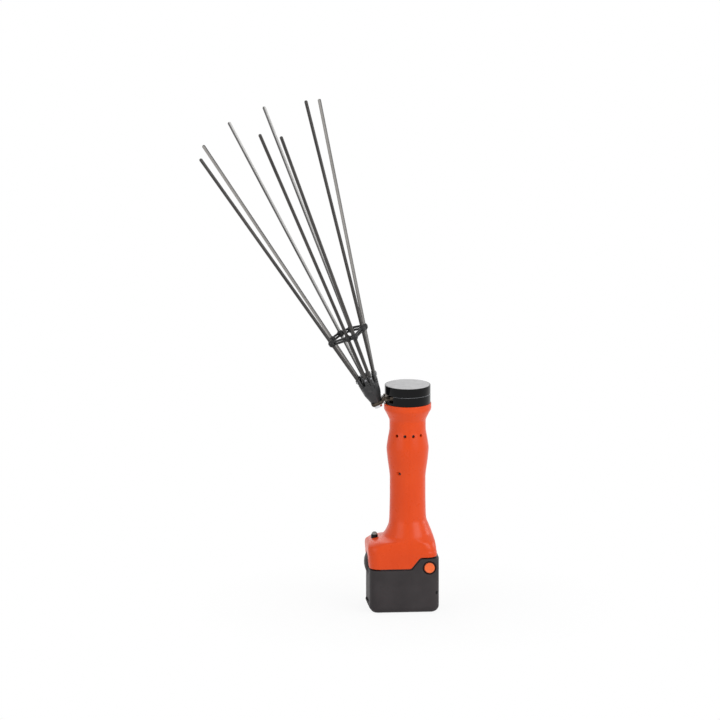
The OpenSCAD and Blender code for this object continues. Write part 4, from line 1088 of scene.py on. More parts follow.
@dataclass
class Grip:
    """The two orange shells with their vents and screws."""

    parting: PartingLine
    wall: float = 2.6
    around: int = 120
    corner_steps: int = 32
    foot_rings: int = 11
    fade_run: float = 12.0
    ring_step: float = 1.2
    inner_step: float = 4.0
    straight_z: float = 84.0
    grip_foot_z: float = 121.0
    seam: float = 0.1
    seam_depth: float = 0.12
    rim: float = 0.7
    vent_r: float = 2.05
    vent_z: float = 242.0
    vent_step: float = 27.0
    vent_flare: float = 0.5
    # Distances from the grip's axis: where a vent's cutter starts, its throat, its mouth and its end
    vent_stops: tuple[float, ...] = (12.0, 24.9, 26.2, 32.0)
    screw_y: float = 20.1
    screw_z: float = 190.0
    screw_seat: float = 10.9
    screw_head_r: float = 2.2
    screw_head_h: float = 1.6
    screw_r: float = 1.4
    screw_len: float = 19.6
    screw_hole_r: float = 1.5
    screw_room: float = 0.15
    screw_out: float = 40.0
    button_x: float = 45.0
    collar_hole_r: float = 4.7
    bezel_hole_r: float = 5.7
    bezel_step: float = 95.5
    hole_z: tuple[float, float] = (80.0, 120.0)
    # Heights between which the left corners open out, and by how much
    shoulder: tuple[float, float] = (90.0, 98.0)
    shoulder_round: float = 12.0
    notch_y: tuple[float, float] = (-9.6, 17.6)
    notch_top: float = 77.6
    notch_low: float = 50.0
    notch_r: float = 2.5
    notch_x: tuple[float, float] = (48.4, 70.0)
    # Key sections: height, left, right, half depth, corner radius
    keys: tuple[tuple[float, ...], ...] = (
        (61.2, 54, 37.5, 38, 14), (78, 55.4, 37.5, 38, 14), (88, 56, 36.7, 37.4, 15.5), (94, 53.9, 35.8, 36.4, 18),
        (96.8, 50.2, 35.2, 35.8, 20.5), (98.5, 42.6, 34.7, 35.3, 24), (100.5, 36.2, 34.1, 34.6, 27),
        (104, 31.9, 32.9, 33.1, 30), (109, 28.6, 31, 30.9, 28.6), (116, 25.8, 28.2, 27.7, 25.8),
        (123, 24.9, 25.5, 25.3, 24.9), (133, 24.6, 24.6, 24.6, 24.6), (158, 24.1, 24.1, 24.1, 24.1),
        (182, 24.1, 24.1, 24.1, 24.1),
        (206, 27.1, 27.1, 27.1, 27.1), (221, 28.5, 28.5, 28.5, 28.5), (226, 28.1, 28.1, 28.1, 28.1),
        (236, 26.5, 26.5, 26.5, 26.5), (248, 24.5, 24.5, 24.5, 24.5), (260, 24.5, 24.5, 24.5, 24.5),
        (269, 28.25, 28.25, 28.25, 28.25), (275, 31.5, 31.5, 31.5, 31.5), (277, 32, 32, 32, 32),
        (284, 32, 32, 32, 32))

    def section(self, z: float) -> list[float]:
        """Gives the eased section at a height.

        Args:
            z: The height.

        Returns:
            Its left, right, half depth and corner radius.
        """
        keys = self.keys
        i = 0
        while i < len(keys) - 2 and z > keys[i + 1][0]:
            i += 1
        h = keys[i + 1][0] - keys[i][0]
        t = min(1.0, max(0.0, (z - keys[i][0]) / h))
        row = []
        for k in range(1, 5):
            p, q = keys[i][k], keys[i + 1][k]
            if p == q:
                row.append(p)
                continue
            slopes = []
            for j in (i, i + 1):
                a, b = keys[max(j - 1, 0)], keys[min(j + 1, len(keys) - 1)]
                slopes.append((b[k] - a[k]) / (b[0] - a[0]) * h)
            m, n = slopes
            row.append(p + t * m + t * t * (3 * (q - p) - 2 * m - n) + t ** 3 * (2 * (p - q) + m + n))
        return row

    def half_outline(self, z: float, way: int, inset: float, seam: bool) -> np.ndarray:
        """Gives half of a section, from the front seam over one side to the rear seam.

        Args:
            z: The height.
            way: 1 to the right, -1 to the left.
            inset: How far the outline is drawn in.
            seam: Whether its ends have the seam's small chamfer.

        Returns:
            Evenly spaced points.
        """
        left, right, depth, corner = self.section(z)
        side = (right if way > 0 else left) - inset
        deep = depth - inset
        if way < 0:
            low, high = self.shoulder
            t = min(1.0, max(0.0, (z - low) / (high - low)))
            corner += self.shoulder_round * t * t * (3 - 2 * t)
        r = max(min(corner - inset, side - 0.01, deep - 0.01), 0.5)
        path = [(0.0, -deep)]
        for start, sx, sy in ((-90, side - r, -(deep - r)), (0, side - r, deep - r)):
            for k in range(self.corner_steps + 1):
                a = math.radians(start + 90 * k / self.corner_steps)
                path.append((sx + r * math.cos(a), sy + r * math.sin(a)))
        path.append((0.0, deep))
        line = np.array(path)
        run = np.concatenate(([0.0], np.cumsum(np.hypot(*np.diff(line, axis=0).T))))
        if seam:
            end = run[-1] - self.seam
            between = np.linspace(self.seam, end, self.around - 2)[1:-1]
            stops = np.concatenate(([0.0, self.seam], between, [end, run[-1]]))
        else:
            stops = np.linspace(0, run[-1], self.around)
        even = np.stack([np.interp(stops, run, line[:, 0]), np.interp(stops, run, line[:, 1])], axis=1)
        if seam:
            even[0, 1] += self.seam_depth
            even[-1, 1] -= self.seam_depth
        even[:, 0] *= way
        return even

    def heights(self, step: float) -> list[float]:
        """Gives the ring heights above the straight foot, closer than a step and through every key.

        Args:
            step: The largest distance between two rings.

        Returns:
            The heights.
        """
        stops = [self.straight_z] + [k[0] for k in self.keys if k[0] > self.straight_z]
        out = []
        for a, b in zip(stops, stops[1:]):
            n = max(1, math.ceil((b - a) / step))
            out.extend(a + (b - a) * i / n for i in range(n))
        return out + [stops[-1]]

    def outer_rings(self, way: int) -> list[np.ndarray]:
        """Builds the outer surface's rings, from the foot's rim to the collar's rim.

        Args:
            way: 1 to the right, -1 to the left.

        Returns:
            The rings.
        """
        rings = []
        foot = self.keys[0][0]
        for k in range(4):
            a = math.radians(90 * k / 4)
            rings.append(self._foot_ring(way, foot, self.rim * (1 - math.sin(a)), 0.0, self.rim * (1 - math.cos(a))))
        for k in range(self.foot_rings):
            share = k / self.foot_rings
            rings.append(self._foot_ring(way, foot + (self.straight_z - foot) * share, 0.0, share, self.rim))
        top = self.keys[-1][0]
        for z in self.heights(self.ring_step):
            if z < top - self.rim:
                flat = self.half_outline(z, way, 0.0, True)
                rings.append(np.column_stack([flat, np.full(len(flat), z)]))
        for k in range(5):
            a = math.radians(90 * k / 4)
            flat = self.half_outline(top, way, self.rim * (1 - math.cos(a)), True)
            rings.append(np.column_stack([flat, np.full(len(flat), top - self.rim + self.rim * math.sin(a))]))
        return rings

    def _foot_ring(self, way: int, z: float, inset: float, share: float, lift: float) -> np.ndarray:
        """Builds a ring of the foot, which follows the parting line at its low end.

        Args:
            way: 1 to the right, -1 to the left.
            z: The height of its section.
            inset: How far it is drawn in.
            share: Where it lies, from 0 at the parting line to 1 at the straight foot's top.
            lift: How far it lies above the parting line at share 0.

        Returns:
            The ring.
        """
        flat = self.half_outline(z, way, inset, True)
        low = np.array([self.parting.height(x) if way > 0 else self.parting.low for x in flat[:, 0]]) + lift
        return np.column_stack([flat, low + (self.straight_z - low) * share])

    def inner_rings(self, way: int) -> list[np.ndarray]:
        """Builds the inner surface's rings.

        Args:
            way: 1 to the right, -1 to the left.

        Returns:
            The rings.
        """
        rings = []
        foot = self.keys[0][0]
        for k in range(5):
            z = foot + (self.straight_z - foot) * k / 5
            flat = self.half_outline(z, way, self.wall, False)
            low = np.array([self.parting.height(x) if way > 0 else self.parting.low for x in flat[:, 0]])
            rings.append(np.column_stack([flat, low + (self.straight_z - self.wall - low) * k / 5]))
        for z in self.heights(self.inner_step):
            fade = min(1.0, max(0.0, (z - self.grip_foot_z) / self.fade_run + 0.5))
            flat = self.half_outline(z, way, self.wall, False)
            rings.append(np.column_stack([flat, np.full(len(flat), z - self.wall * (1 - fade))]))
        return rings

    def half_shell(self, way: int) -> Shape:
        """Builds a closed half shell.

        Args:
            way: 1 to the right, -1 to the left.

        Returns:
            The shape.
        """
        outer, inner = self.outer_rings(way), self.inner_rings(way)
        n = self.around
        shape = Shape()
        for ring in outer + inner:
            shape.points.extend(map(tuple, ring))
        rows = len(outer)
        for sheet, start in ((outer, 0), (inner, rows)):
            shape.faces += between_rings(len(sheet), n, start * n, closed=False)
        for low, high in ((0, rows), (rows - 1, rows + len(inner) - 1)):
            for j in range(n - 1):
                shape.faces.append((low * n + j, low * n + j + 1, high * n + j + 1, high * n + j))
        for j in (0, n - 1):
            up = [k * n + j for k in range(rows)]
            down = [(rows + k) * n + j for k in reversed(range(len(inner)))]
            shape.faces.append(tuple(up + down))
        return shape

    def vents(self, way: int) -> Shape:
        """Builds the vents' cutters, which flare a little at the surface.

        Args:
            way: 1 to the right, -1 to the left.

        Returns:
            The cutters.
        """
        cutters = Shape()
        r, wide = self.vent_r, self.vent_r + self.vent_flare
        start, throat, mouth, end = self.vent_stops
        profile = [(0, start), (r, start), (r, throat), (wide, mouth), (wide, end), (0, end)]
        for side in (-1, 1):
            for k in (0.5, 1.5):
                a = math.radians(k * self.vent_step)
                way_out = (way * math.sin(a), side * math.cos(a), 0)
                cutters.add(revolve(profile, 28).moved(toward((0, 0, self.vent_z), way_out)))
        return cutters

    def build(self, shop: Workshop) -> None:
        """Builds the shells and their screws.

        Args:
            shop: What every sub-assembly needs.
        """
        orange = shop.palette.get(Look.ORANGE_SHELL)
        for way, name, node in ((-1, "grip_left", "shell_left"), (1, "grip_right", "shell_right")):
            shell = make_mesh(name, self.half_shell(way))
            cutters = self.vents(way)
            if way < 0:
                self._add_left_cuts(cutters)
            combine(shell, cutters, "DIFFERENCE")
            smooth(shell)
            hand_over(shell, orange, Body.HANDLE, [node])
        self._build_screws(shop)

    def _add_left_cuts(self, cutters: Shape) -> None:
        """Adds the left shell's own cutters: screw seats, the button's hole and the tongue's notch.

        Args:
            cutters: The cutters that they join.
        """
        (start, end), step = self.hole_z, self.bezel_step
        hole = [(0, start), (self.bezel_hole_r, start), (self.bezel_hole_r, step), (self.collar_hole_r, step),
                (self.collar_hole_r, end), (0, end)]
        cutters.add(revolve(hole, 64).moved(Matrix.Translation((-self.button_x, 0, 0))))
        for side in (-1, 1):
            wide = self.screw_head_r + self.screw_room
            seat = [(0, -1), (self.screw_hole_r, -1), (self.screw_hole_r, self.screw_seat), (wide, self.screw_seat),
                    (wide, self.screw_out), (0, self.screw_out)]
            place = toward((0, side * self.screw_y, self.screw_z), (-1, 0, 0))
            cutters.add(revolve(seat, 32).moved(place))
        (near, away), low, top = self.notch_y, self.notch_low, self.notch_top
        outline = rounded([(near, low), (away, low), (away, top), (near, top)], [0, 0, self.notch_r, self.notch_r])
        notch = prism(outline, *self.notch_x)
        cutters.add(Shape([(-z, x, y) for x, y, z in notch.points], notch.faces))

    def _build_screws(self, shop: Workshop) -> None:
        """Builds the two screws that join the shells.

        Args:
            shop: What every sub-assembly needs.
        """
        r, run, head_r, head = self.screw_r, self.screw_len, self.screw_head_r, self.screw_head_h
        profile = rounded([(0, -run), (r, -run), (r, 0), (head_r, 0), (head_r, head), (0, head)],
                          [0, 0.3, 0, 0, 0.6, 0])
        screw = revolve(profile, 40)
        places = [toward((-self.screw_seat, side * self.screw_y, self.screw_z), (-1, 0, 0)) for side in (-1, 1)]
        dark = shop.palette.get(Look.DARK_SCREW)
        piece = shop.copies.make("grip_screws", screw, places, dark)
        hand_over(piece, dark, Body.HANDLE, ["shell_screws"])


# Drive head

@dataclass
class DriveHead:
    """The black drum on top of the grip: its ring with the lever's window, its cap and the plate on top."""

    radius: float = 31.0
    wall: float = 3.0
    low: float = 284.0
    line_z: float = 297.4
    top: float = 309.0
    floor: float = 2.5
    spigot_r: float = 29.1
    spigot_low: float = 279.0
    well_r: float = 9.6
    window_half: float = 46.0
    window_reach: float = 60.0
    around: int = 160
    # Top of the pivot's lower boss and low end of its upper one
    pivot_z: tuple[float, float] = (287.3, 294.0)
    rim: float = 1.4
    plate_t: float = 1.0
    pivot_x: float = 16.0
    boss_r: float = 5.4
    screw_pcr: float = 24.5
    screw_angles: tuple[float, ...] = (0.0, 78.0, -78.0)
    screw_boss_r: float = 3.7
    chamfer: float = 0.9

    def bosses(self, pivot: tuple[float, float], screws: tuple[float, float]) -> Shape:
        """Builds the bosses of the pivot and of the cap's screws.

        Args:
            pivot: Lower and upper end of the pivot's boss.
            screws: Lower and upper end of the screws' bosses.

        Returns:
            The bosses.
        """
        low, high = pivot
        shape = revolve(rounded([(0, low), (self.boss_r, low), (self.boss_r, high), (0, high)], [0, 0.4, 0.4, 0]), 48)
        shape = shape.moved(Matrix.Translation((-self.pivot_x, 0, 0)))
        low, high = screws
        for angle in self.screw_angles:
            a = math.radians(angle)
            boss = revolve([(0, low), (self.screw_boss_r, low), (self.screw_boss_r, high), (0, high)], 32)
            shape.add(boss.moved(Matrix.Translation((self.screw_pcr * math.cos(a), self.screw_pcr * math.sin(a), 0))))
        return shape

    def build(self, shop: Workshop) -> None:
        """Builds the head's three pieces.

        Args:
            shop: What every sub-assembly needs.
        """
        black = shop.palette.get(Look.HEAD_BLACK)
        inner = self.radius - self.wall
        floor_top = self.low + self.floor
        profile = rounded(
            [(self.well_r, self.spigot_low), (self.spigot_r, self.spigot_low), (self.spigot_r, self.low),
             (self.radius, self.low), (self.radius, self.line_z - self.chamfer),
             (self.radius - self.chamfer, self.line_z), (inner, self.line_z), (inner, floor_top),
             (self.well_r, floor_top)], [0, 0.4, 0, 0.4, 0.3, 0.2, 0.2, 0.5, 0.3])
        ring = make_mesh("drive_ring", revolve(profile, self.around))
        a, reach = self.window_half, self.window_reach
        turns = [math.radians(180 + d) for d in (-a, -a / 2, 0, a / 2, a)]
        wedge = [(0.0, 0.0)] + [(reach * math.cos(t), reach * math.sin(t)) for t in turns]
        window = prism(wedge, floor_top + 0.5, self.line_z + 3)
        combine(ring, window, "DIFFERENCE")
        foot = self.low + 0.5
        combine(ring, self.bosses((foot, self.pivot_z[0]), (foot, self.line_z - 0.1)), "UNION")
        soften(ring, 0.25, 2, 40)
        smooth(ring)
        hand_over(ring, black, Body.HANDLE, ["head_ring"])
        self._build_highlight_line(shop, window)
        seat = self.top - self.plate_t + 0.2
        plate_r = self.radius - self.rim
        profile = rounded(
            [(inner, self.line_z), (self.radius, self.line_z), (self.radius, self.top), (plate_r + 0.1, self.top),
             (plate_r + 0.1, seat), (0, seat), (0, seat - 3), (inner, seat - 3)],
            [0.2, 0.25, 0.95, 0.15, 0, 0, 0, 0.6])
        cap = make_mesh("drive_cap", revolve(profile, self.around))
        combine(cap, self.bosses((self.pivot_z[1], seat - 1), (self.line_z + 0.1, seat - 1)), "UNION")
        smooth(cap)
        hand_over(cap, black, Body.HANDLE, ["head_cap"])
        profile = rounded([(0, seat), (plate_r, seat), (plate_r, seat + self.plate_t), (0, seat + self.plate_t)],
                          [0, 0.1, 0.35, 0])
        plate = make_mesh("top_disc", revolve(profile, self.around))
        smooth(plate)
        hand_over(plate, shop.palette.get(Look.TOP_GREY), Body.HANDLE, ["top_plate"])

    def _build_highlight_line(self, shop: Workshop, window: Shape) -> None:
        """Builds a satin steel ring on the ring's top edge, open at the window; its light grey is a painted highlight
        along the edge.

        Args:
            shop: What every sub-assembly needs.
            window: The cutter of the window.
        """
        r, z, c = self.radius, self.line_z, self.chamfer
        profile = [(r - c - 0.2, z - 0.4), (r - c + 0.04, z - 0.01), (r - 0.01, z - c + 0.06), (r - 0.1, z - c - 0.3),
                   (r - c + 0.3, z - c - 0.2)]
        # This light ring is a painted highlight along the black ring's top edge
        line = make_mesh("head_line", revolve(profile + profile[:1], self.around))
        combine(line, window, "DIFFERENCE")
        smooth(line)
        hand_over(line, shop.palette.get(Look.LINE_STEEL), Body.HANDLE)


# Power button

@dataclass
class PowerButton:
    """The grey domed button on the left shoulder and its dark collar."""

    x: float = -45.0
    radius: float = 3.8
    top: float = 106.0
    low: float = 93.0
    flange: float = 0.6
    flange_t: float = 1.2
    dome_h: float = 3.7
    bezel_low: float = 90.7
    bezel_step: float = 95.4
    bezel_r: float = 5.6
    collar_wall: float = 0.8
    collar_top: float = 102.2
    bore_room: float = 0.05
    room: float = 0.3

    def build(self, shop: Workshop) -> None:
        """Builds the button and its collar.

        Args:
            shop: What every sub-assembly needs.
        """
        place = Matrix.Translation((self.x, 0, 0))
        edge = self.radius + self.flange
        dome = [(self.radius * math.cos(a), self.top - self.dome_h + self.dome_h * math.sin(a))
                for a in np.radians(np.linspace(0, 90, 13))]
        profile = [(0, self.low), (edge, self.low), (edge, self.low + self.flange_t),
                   (self.radius, self.low + self.flange_t)] + dome[:-1] + [(0, self.top)]
        button = make_mesh("power_dome", revolve(profile, 64).moved(place))
        smooth(button, 40)
        hand_over(button, shop.palette.get(Look.BUTTON_PALE), Body.POWER_BUTTON, ["power_button"])
        bore = self.radius + self.bore_room
        wide = edge + self.room
        flange_top = self.low + self.flange_t + self.room
        profile = rounded(
            [(wide, self.bezel_low), (self.bezel_r, self.bezel_low), (self.bezel_r, self.bezel_step),
             (self.radius + self.collar_wall, self.bezel_step), (self.radius + self.collar_wall, self.collar_top),
             (bore, self.collar_top), (bore, flange_top), (wide, flange_top)], [0, 0.2, 0.2, 0, 0.35, 0.3, 0, 0])
        collar = make_mesh("power_collar", revolve(profile, 64).moved(place))
        smooth(collar)
        hand_over(collar, shop.palette.get(Look.HEAD_BLACK), Body.HANDLE, ["power_bezel"])


# Lever and rods

@dataclass
class Lever:
    """The swinging lever with its bracket and fasteners."""

    edge: float = 0.35
    # Lower outer corner of the rods' foot in XZ, the foot's two directions there, and its rounding
    corner: tuple[float, float] = (-47.9, 278.7)
    ways: tuple[tuple[float, float], tuple[float, float]] = ((0.9205, 0.3907), (-0.3907, 0.9205))
    corner_r: float = 3.6

    def corner_cutter(self) -> Shape:
        """Builds what is cut off the foot's lower outer corner to round it.

        Returns:
            The cutter.
        """
        (ux, uz), (nx, nz) = self.ways
        r = self.corner_r
        arc = [(r - r * math.cos(a), r - r * math.sin(a)) for a in np.radians(np.linspace(0, 90, 9))]
        line = arc + [(r, -6), (-6, -6), (-6, r)]
        x, z = self.corner
        return side_prism([(x + u * ux + n * nx, z + u * uz + n * nz) for u, n in line], 60)

    def build(self, shop: Workshop) -> None:
        """Dresses the lever's nodes with rounded edges.

        Args:
            shop: What every sub-assembly needs.
        """
        rows = (("lever", "swing_arm", Look.LEVER_STEEL, "arm_steel", self.edge),
                ("rod_foot", "rod_bracket", Look.BRACKET_STEEL, "arm_steel", self.edge),
                ("foot_nut", "arm_nut", Look.NUT_STEEL, "bright_steel", 0.25),
                ("foot_bolt", "arm_bolt", Look.BRIGHT_STEEL, "bright_steel", 0.25),
                ("hub_bolt", "carrier_bolt", Look.BRIGHT_STEEL, "bright_steel", 0.3))
        for name, node, look, slot, edge in rows:
            piece = copy_of_node(shop.frame, node, name)
            if node == "rod_bracket":
                combine(piece, self.corner_cutter(), "DIFFERENCE")
            soften(piece, edge, 2, 30)
            smooth(piece, 30)
            hand_over(piece, shop.palette.get(look), Body.ARM, [node])


@dataclass
class RodFan:
    """The hub, the eight rods and the rubber brace that ties them."""

    aim: tuple[float, float, float] = (-30.0, 0.0, 257.0)
    tilt: float = 23.0
    pad_s: float = 31.5
    hub_len: float = 28.0
    hub_low_r: float = 7.2
    hub_r: float = 13.3
    hub_swell: tuple[float, float] = (11.5, 13.0)
    core_r: float = 7.2
    core_h: float = 15.0
    socket_r: float = 3.45
    socket_above: float = 12.0
    rib_heights: tuple[float, ...] = (-1.6, 0.6, 2.8)
    clamp_z: float = 9.0
    rod_r: float = 2.3
    rod_reach: float = 460.0
    rod_seat: float = 12.0
    rod_rings: int = 40
    rod_sides: int = 24
    tip_round: float = 0.9
    # How often the map's pattern runs along a rod
    map_runs: float = 8.0
    brace_s: float = 133.0
    eyelet_r: float = 4.5
    eyelet_len: float = 8.5
    link_r: float = 1.6
    link_rise: float = 1.8
    link_bow: float = 0.6
    # Angle round the fan and splay from its axis, for each rod
    aims: tuple[tuple[float, float], ...] = (
        (1, 8.5), (15, 13), (95, 9.5), (88, 11.7), (162, 8), (207, 8.8), (266, 9.5), (296, 12))
    # Place of each rod's socket round the rim
    ring: tuple[float, ...] = (-7.5, 22, 66.5, 112, 156, 191.5, 229, 301)
    # The rods painted with a strong highlight along one flank, from 0
    highlight_rods: tuple[int, ...] = (4, 5)
    # The rods painted with a weaker highlight along one flank
    half_highlight_rods: tuple[int, ...] = (3, 6)

    def __post_init__(self) -> None:
        """Works out the fan's three directions."""
        t = math.radians(self.tilt)
        self.along = Vector((-math.sin(t), 0, math.cos(t)))
        self.across = Vector((math.cos(t), 0, math.sin(t)))
        self.front = Vector((0, -1, 0))

    def point(self, s: float, around: float, r: float) -> Vector:
        """Gives a point of the fan.

        Args:
            s: The distance along its axis.
            around: The angle round it.
            r: The distance from it.

        Returns:
            The point.
        """
        a = math.radians(around)
        return Vector(self.aim) + self.along * s + (self.front * math.cos(a) + self.across * math.sin(a)) * r

    def rod_line(self, i: int) -> tuple[Vector, Vector, Vector]:
        """Gives a rod's mouth, tip and direction.

        Args:
            i: The rod, from 0.

        Returns:
            The mouth, the tip and the direction.
        """
        mouth = self.point(self.pad_s + self.hub_len, self.ring[i], self.hub_r - self.rod_r - 0.05)
        around, splay = self.aims[i]
        b = math.radians(splay)
        tip = self.point(self.rod_reach * math.cos(b), around, self.rod_reach * math.sin(b))
        return mouth, tip, (tip - mouth).normalized()

    def rod_at(self, i: int, s: float) -> Vector:
        """Gives the point of a rod at a distance along the fan."""
        mouth, _, way = self.rod_line(i)
        return mouth + way * ((s - self.pad_s - self.hub_len) / way.dot(self.along))

    def build(self, shop: Workshop) -> None:
        """Builds the hub, the rods and the brace.

        Args:
            shop: What every sub-assembly needs.
        """
        self._build_hub(shop)
        self._build_collars(shop)
        for i in range(len(self.aims)):
            self._build_rod(shop, i)
        self._build_brace(shop)

    def _build_hub(self, shop: Workshop) -> None:
        """Builds the hub: a cone with a raised core.

        Args:
            shop: What every sub-assembly needs.
        """
        black = shop.palette.get(Look.CARRIER_BLACK)
        n = self.hub_len
        core_top = n + self.core_h
        profile = rounded([(0, 0), (self.hub_low_r, 0), self.hub_swell, (self.hub_r, n - 2), (self.hub_r - 1.2, n),
                           (self.core_r, n + 0.6), (self.core_r - 0.6, core_top - 1.5), (0, core_top)],
                          [0, 0.8, 12, 1.2, 0.8, 0.6, 2.5, 0])
        base = self.point(self.pad_s, 0, 0)
        hub = make_mesh("rod_hub", revolve(profile, 96).moved(toward(base, self.along)))
        smooth(hub)
        hand_over(hub, black, Body.ARM, ["rod_carrier"])

    def _build_collars(self, shop: Workshop) -> None:
        """Builds a ribbed collar and a clamp screw for each rod.

        Args:
            shop: What every sub-assembly needs.
        """
        r, top = self.socket_r, self.socket_above
        low = -self.rod_seat * 0.8
        ribs = [(0, low), (r, low)]
        for z in self.rib_heights:
            ribs += [(r - 0.4, z - 0.9), (r + 0.3, z - 0.55), (r + 0.3, z + 0.55), (r - 0.4, z + 0.9)]
        ribs += [(r, top), (0, top)]
        radii = [0, 0.3] + [0.15, 0.2, 0.2, 0.15] * len(self.rib_heights) + [0.5, 0]
        collar = revolve(rounded(ribs, radii, 3), 40)
        lines = [self.rod_line(i) for i in range(len(self.aims))]
        dark = shop.palette.get(Look.COLLAR_BLACK)
        piece = shop.copies.make("rod_collars", collar, [toward(mouth, way) for mouth, _, way in lines], dark)
        hand_over(piece, dark, Body.ARM)
        steel = shop.palette.get(Look.LINE_STEEL)
        screw = revolve(rounded([(0, -1.2), (1.5, -1.2), (1.5, 0.7), (0, 0.9)], [0, 0, 0.5, 0]), 28)
        middle = self.point(self.pad_s + self.hub_len, 0, 0)
        places = []
        for mouth, _, way in lines:
            out = mouth - middle
            out = (out - way * out.dot(way)).normalized()
            places.append(toward(mouth + way * self.clamp_z + out * r, out))
        piece = shop.copies.make("clamp_screws", screw, places, steel)
        hand_over(piece, steel, Body.ARM)

    def _build_rod(self, shop: Workshop, i: int) -> None:
        """Builds a rod with its own lengthwise map.

        Args:
            shop: What every sub-assembly needs.
            i: The rod, from 0.
        """
        mouth, tip, way = self.rod_line(i)
        foot = mouth - way * (self.rod_seat - 0.1)
        length = (tip - foot).length
        r = self.rod_r
        dome = self.tip_round * r
        tip_arc = [(r * math.cos(a), length - dome + dome * math.sin(a)) for a in np.radians(np.linspace(0, 80, 7))]
        body = [(r, length * k / self.rod_rings) for k in range(self.rod_rings)]
        profile = [(0, 0)] + body + tip_arc + [(0, length)]
        rod = make_mesh(f"rod_{i + 1}_drawn", revolve(profile, self.rod_sides))
        mesh = rod.data
        uv = mesh.uv_layers.new(name="run")
        for poly in mesh.polygons:
            corners = [mesh.vertices[v].co for v in poly.vertices]
            turns = [math.atan2(-c.y, -c.x) / (2 * math.pi) % 1.0 for c in corners]
            wide = max(turns) - min(turns) > 0.5
            for loop, co, u in zip(poly.loop_indices, corners, turns):
                uv.data[loop].uv = (u + 1.0 if wide and u < 0.5 else u, co.z / (length * MM) * self.map_runs + i)
        mesh.transform(toward(foot * MM, way))
        smooth(rod, 50)
        # Some rods get a finish with a painted highlight along one flank
        look = Look.ROD_PALE if i in self.highlight_rods else Look.ROD_MID if i in self.half_highlight_rods else Look.ROD_FIBRE
        hand_over(rod, shop.palette.get(look), Body.ARM, [f"rod_{i + 1}"])

    def _build_brace(self, shop: Workshop) -> None:
        """Builds the brace: a round bead on each rod, joined by two rows of links.

        Args:
            shop: What every sub-assembly needs.
        """
        dark_finish = shop.palette.get(Look.BRACE_RUBBER)
        r, half, rise = self.eyelet_r, self.eyelet_len / 2, self.link_rise
        bore = self.rod_r - 0.15
        outline = [(bore, -half), (r - 1.6, -half), (r, -rise), (r, rise), (r - 1.6, half), (bore, half)]
        eyelet = revolve(rounded(outline, [0, 0.7, 1.6, 1.6, 0.7, 0], 6), 40)
        count = len(self.aims)
        places = [toward(self.rod_at(i, self.brace_s), self.rod_line(i)[2]) for i in range(count)]
        beads = shop.copies.make("brace_beads", eyelet, places, dark_finish)
        hand_over(beads, dark_finish, Body.ARM, ["rod_brace"])
        paths = []
        for i in range(count):
            for s in (-rise, rise):
                a, b = self.rod_at(i, self.brace_s + s), self.rod_at((i + 1) % count, self.brace_s + s)
                middle = Vector(self.aim) + self.along * (self.brace_s + s)
                out = ((a + b) / 2 - middle).normalized()
                paths.append([a.lerp(b, t) + out * self.link_bow * 4 * t * (1 - t) for t in np.linspace(0, 1, 13)])
        links = shop.sweep.make("brace_links", paths, self.link_r, 16, dark_finish)
        hand_over(links, dark_finish, Body.ARM)


# Battery pack

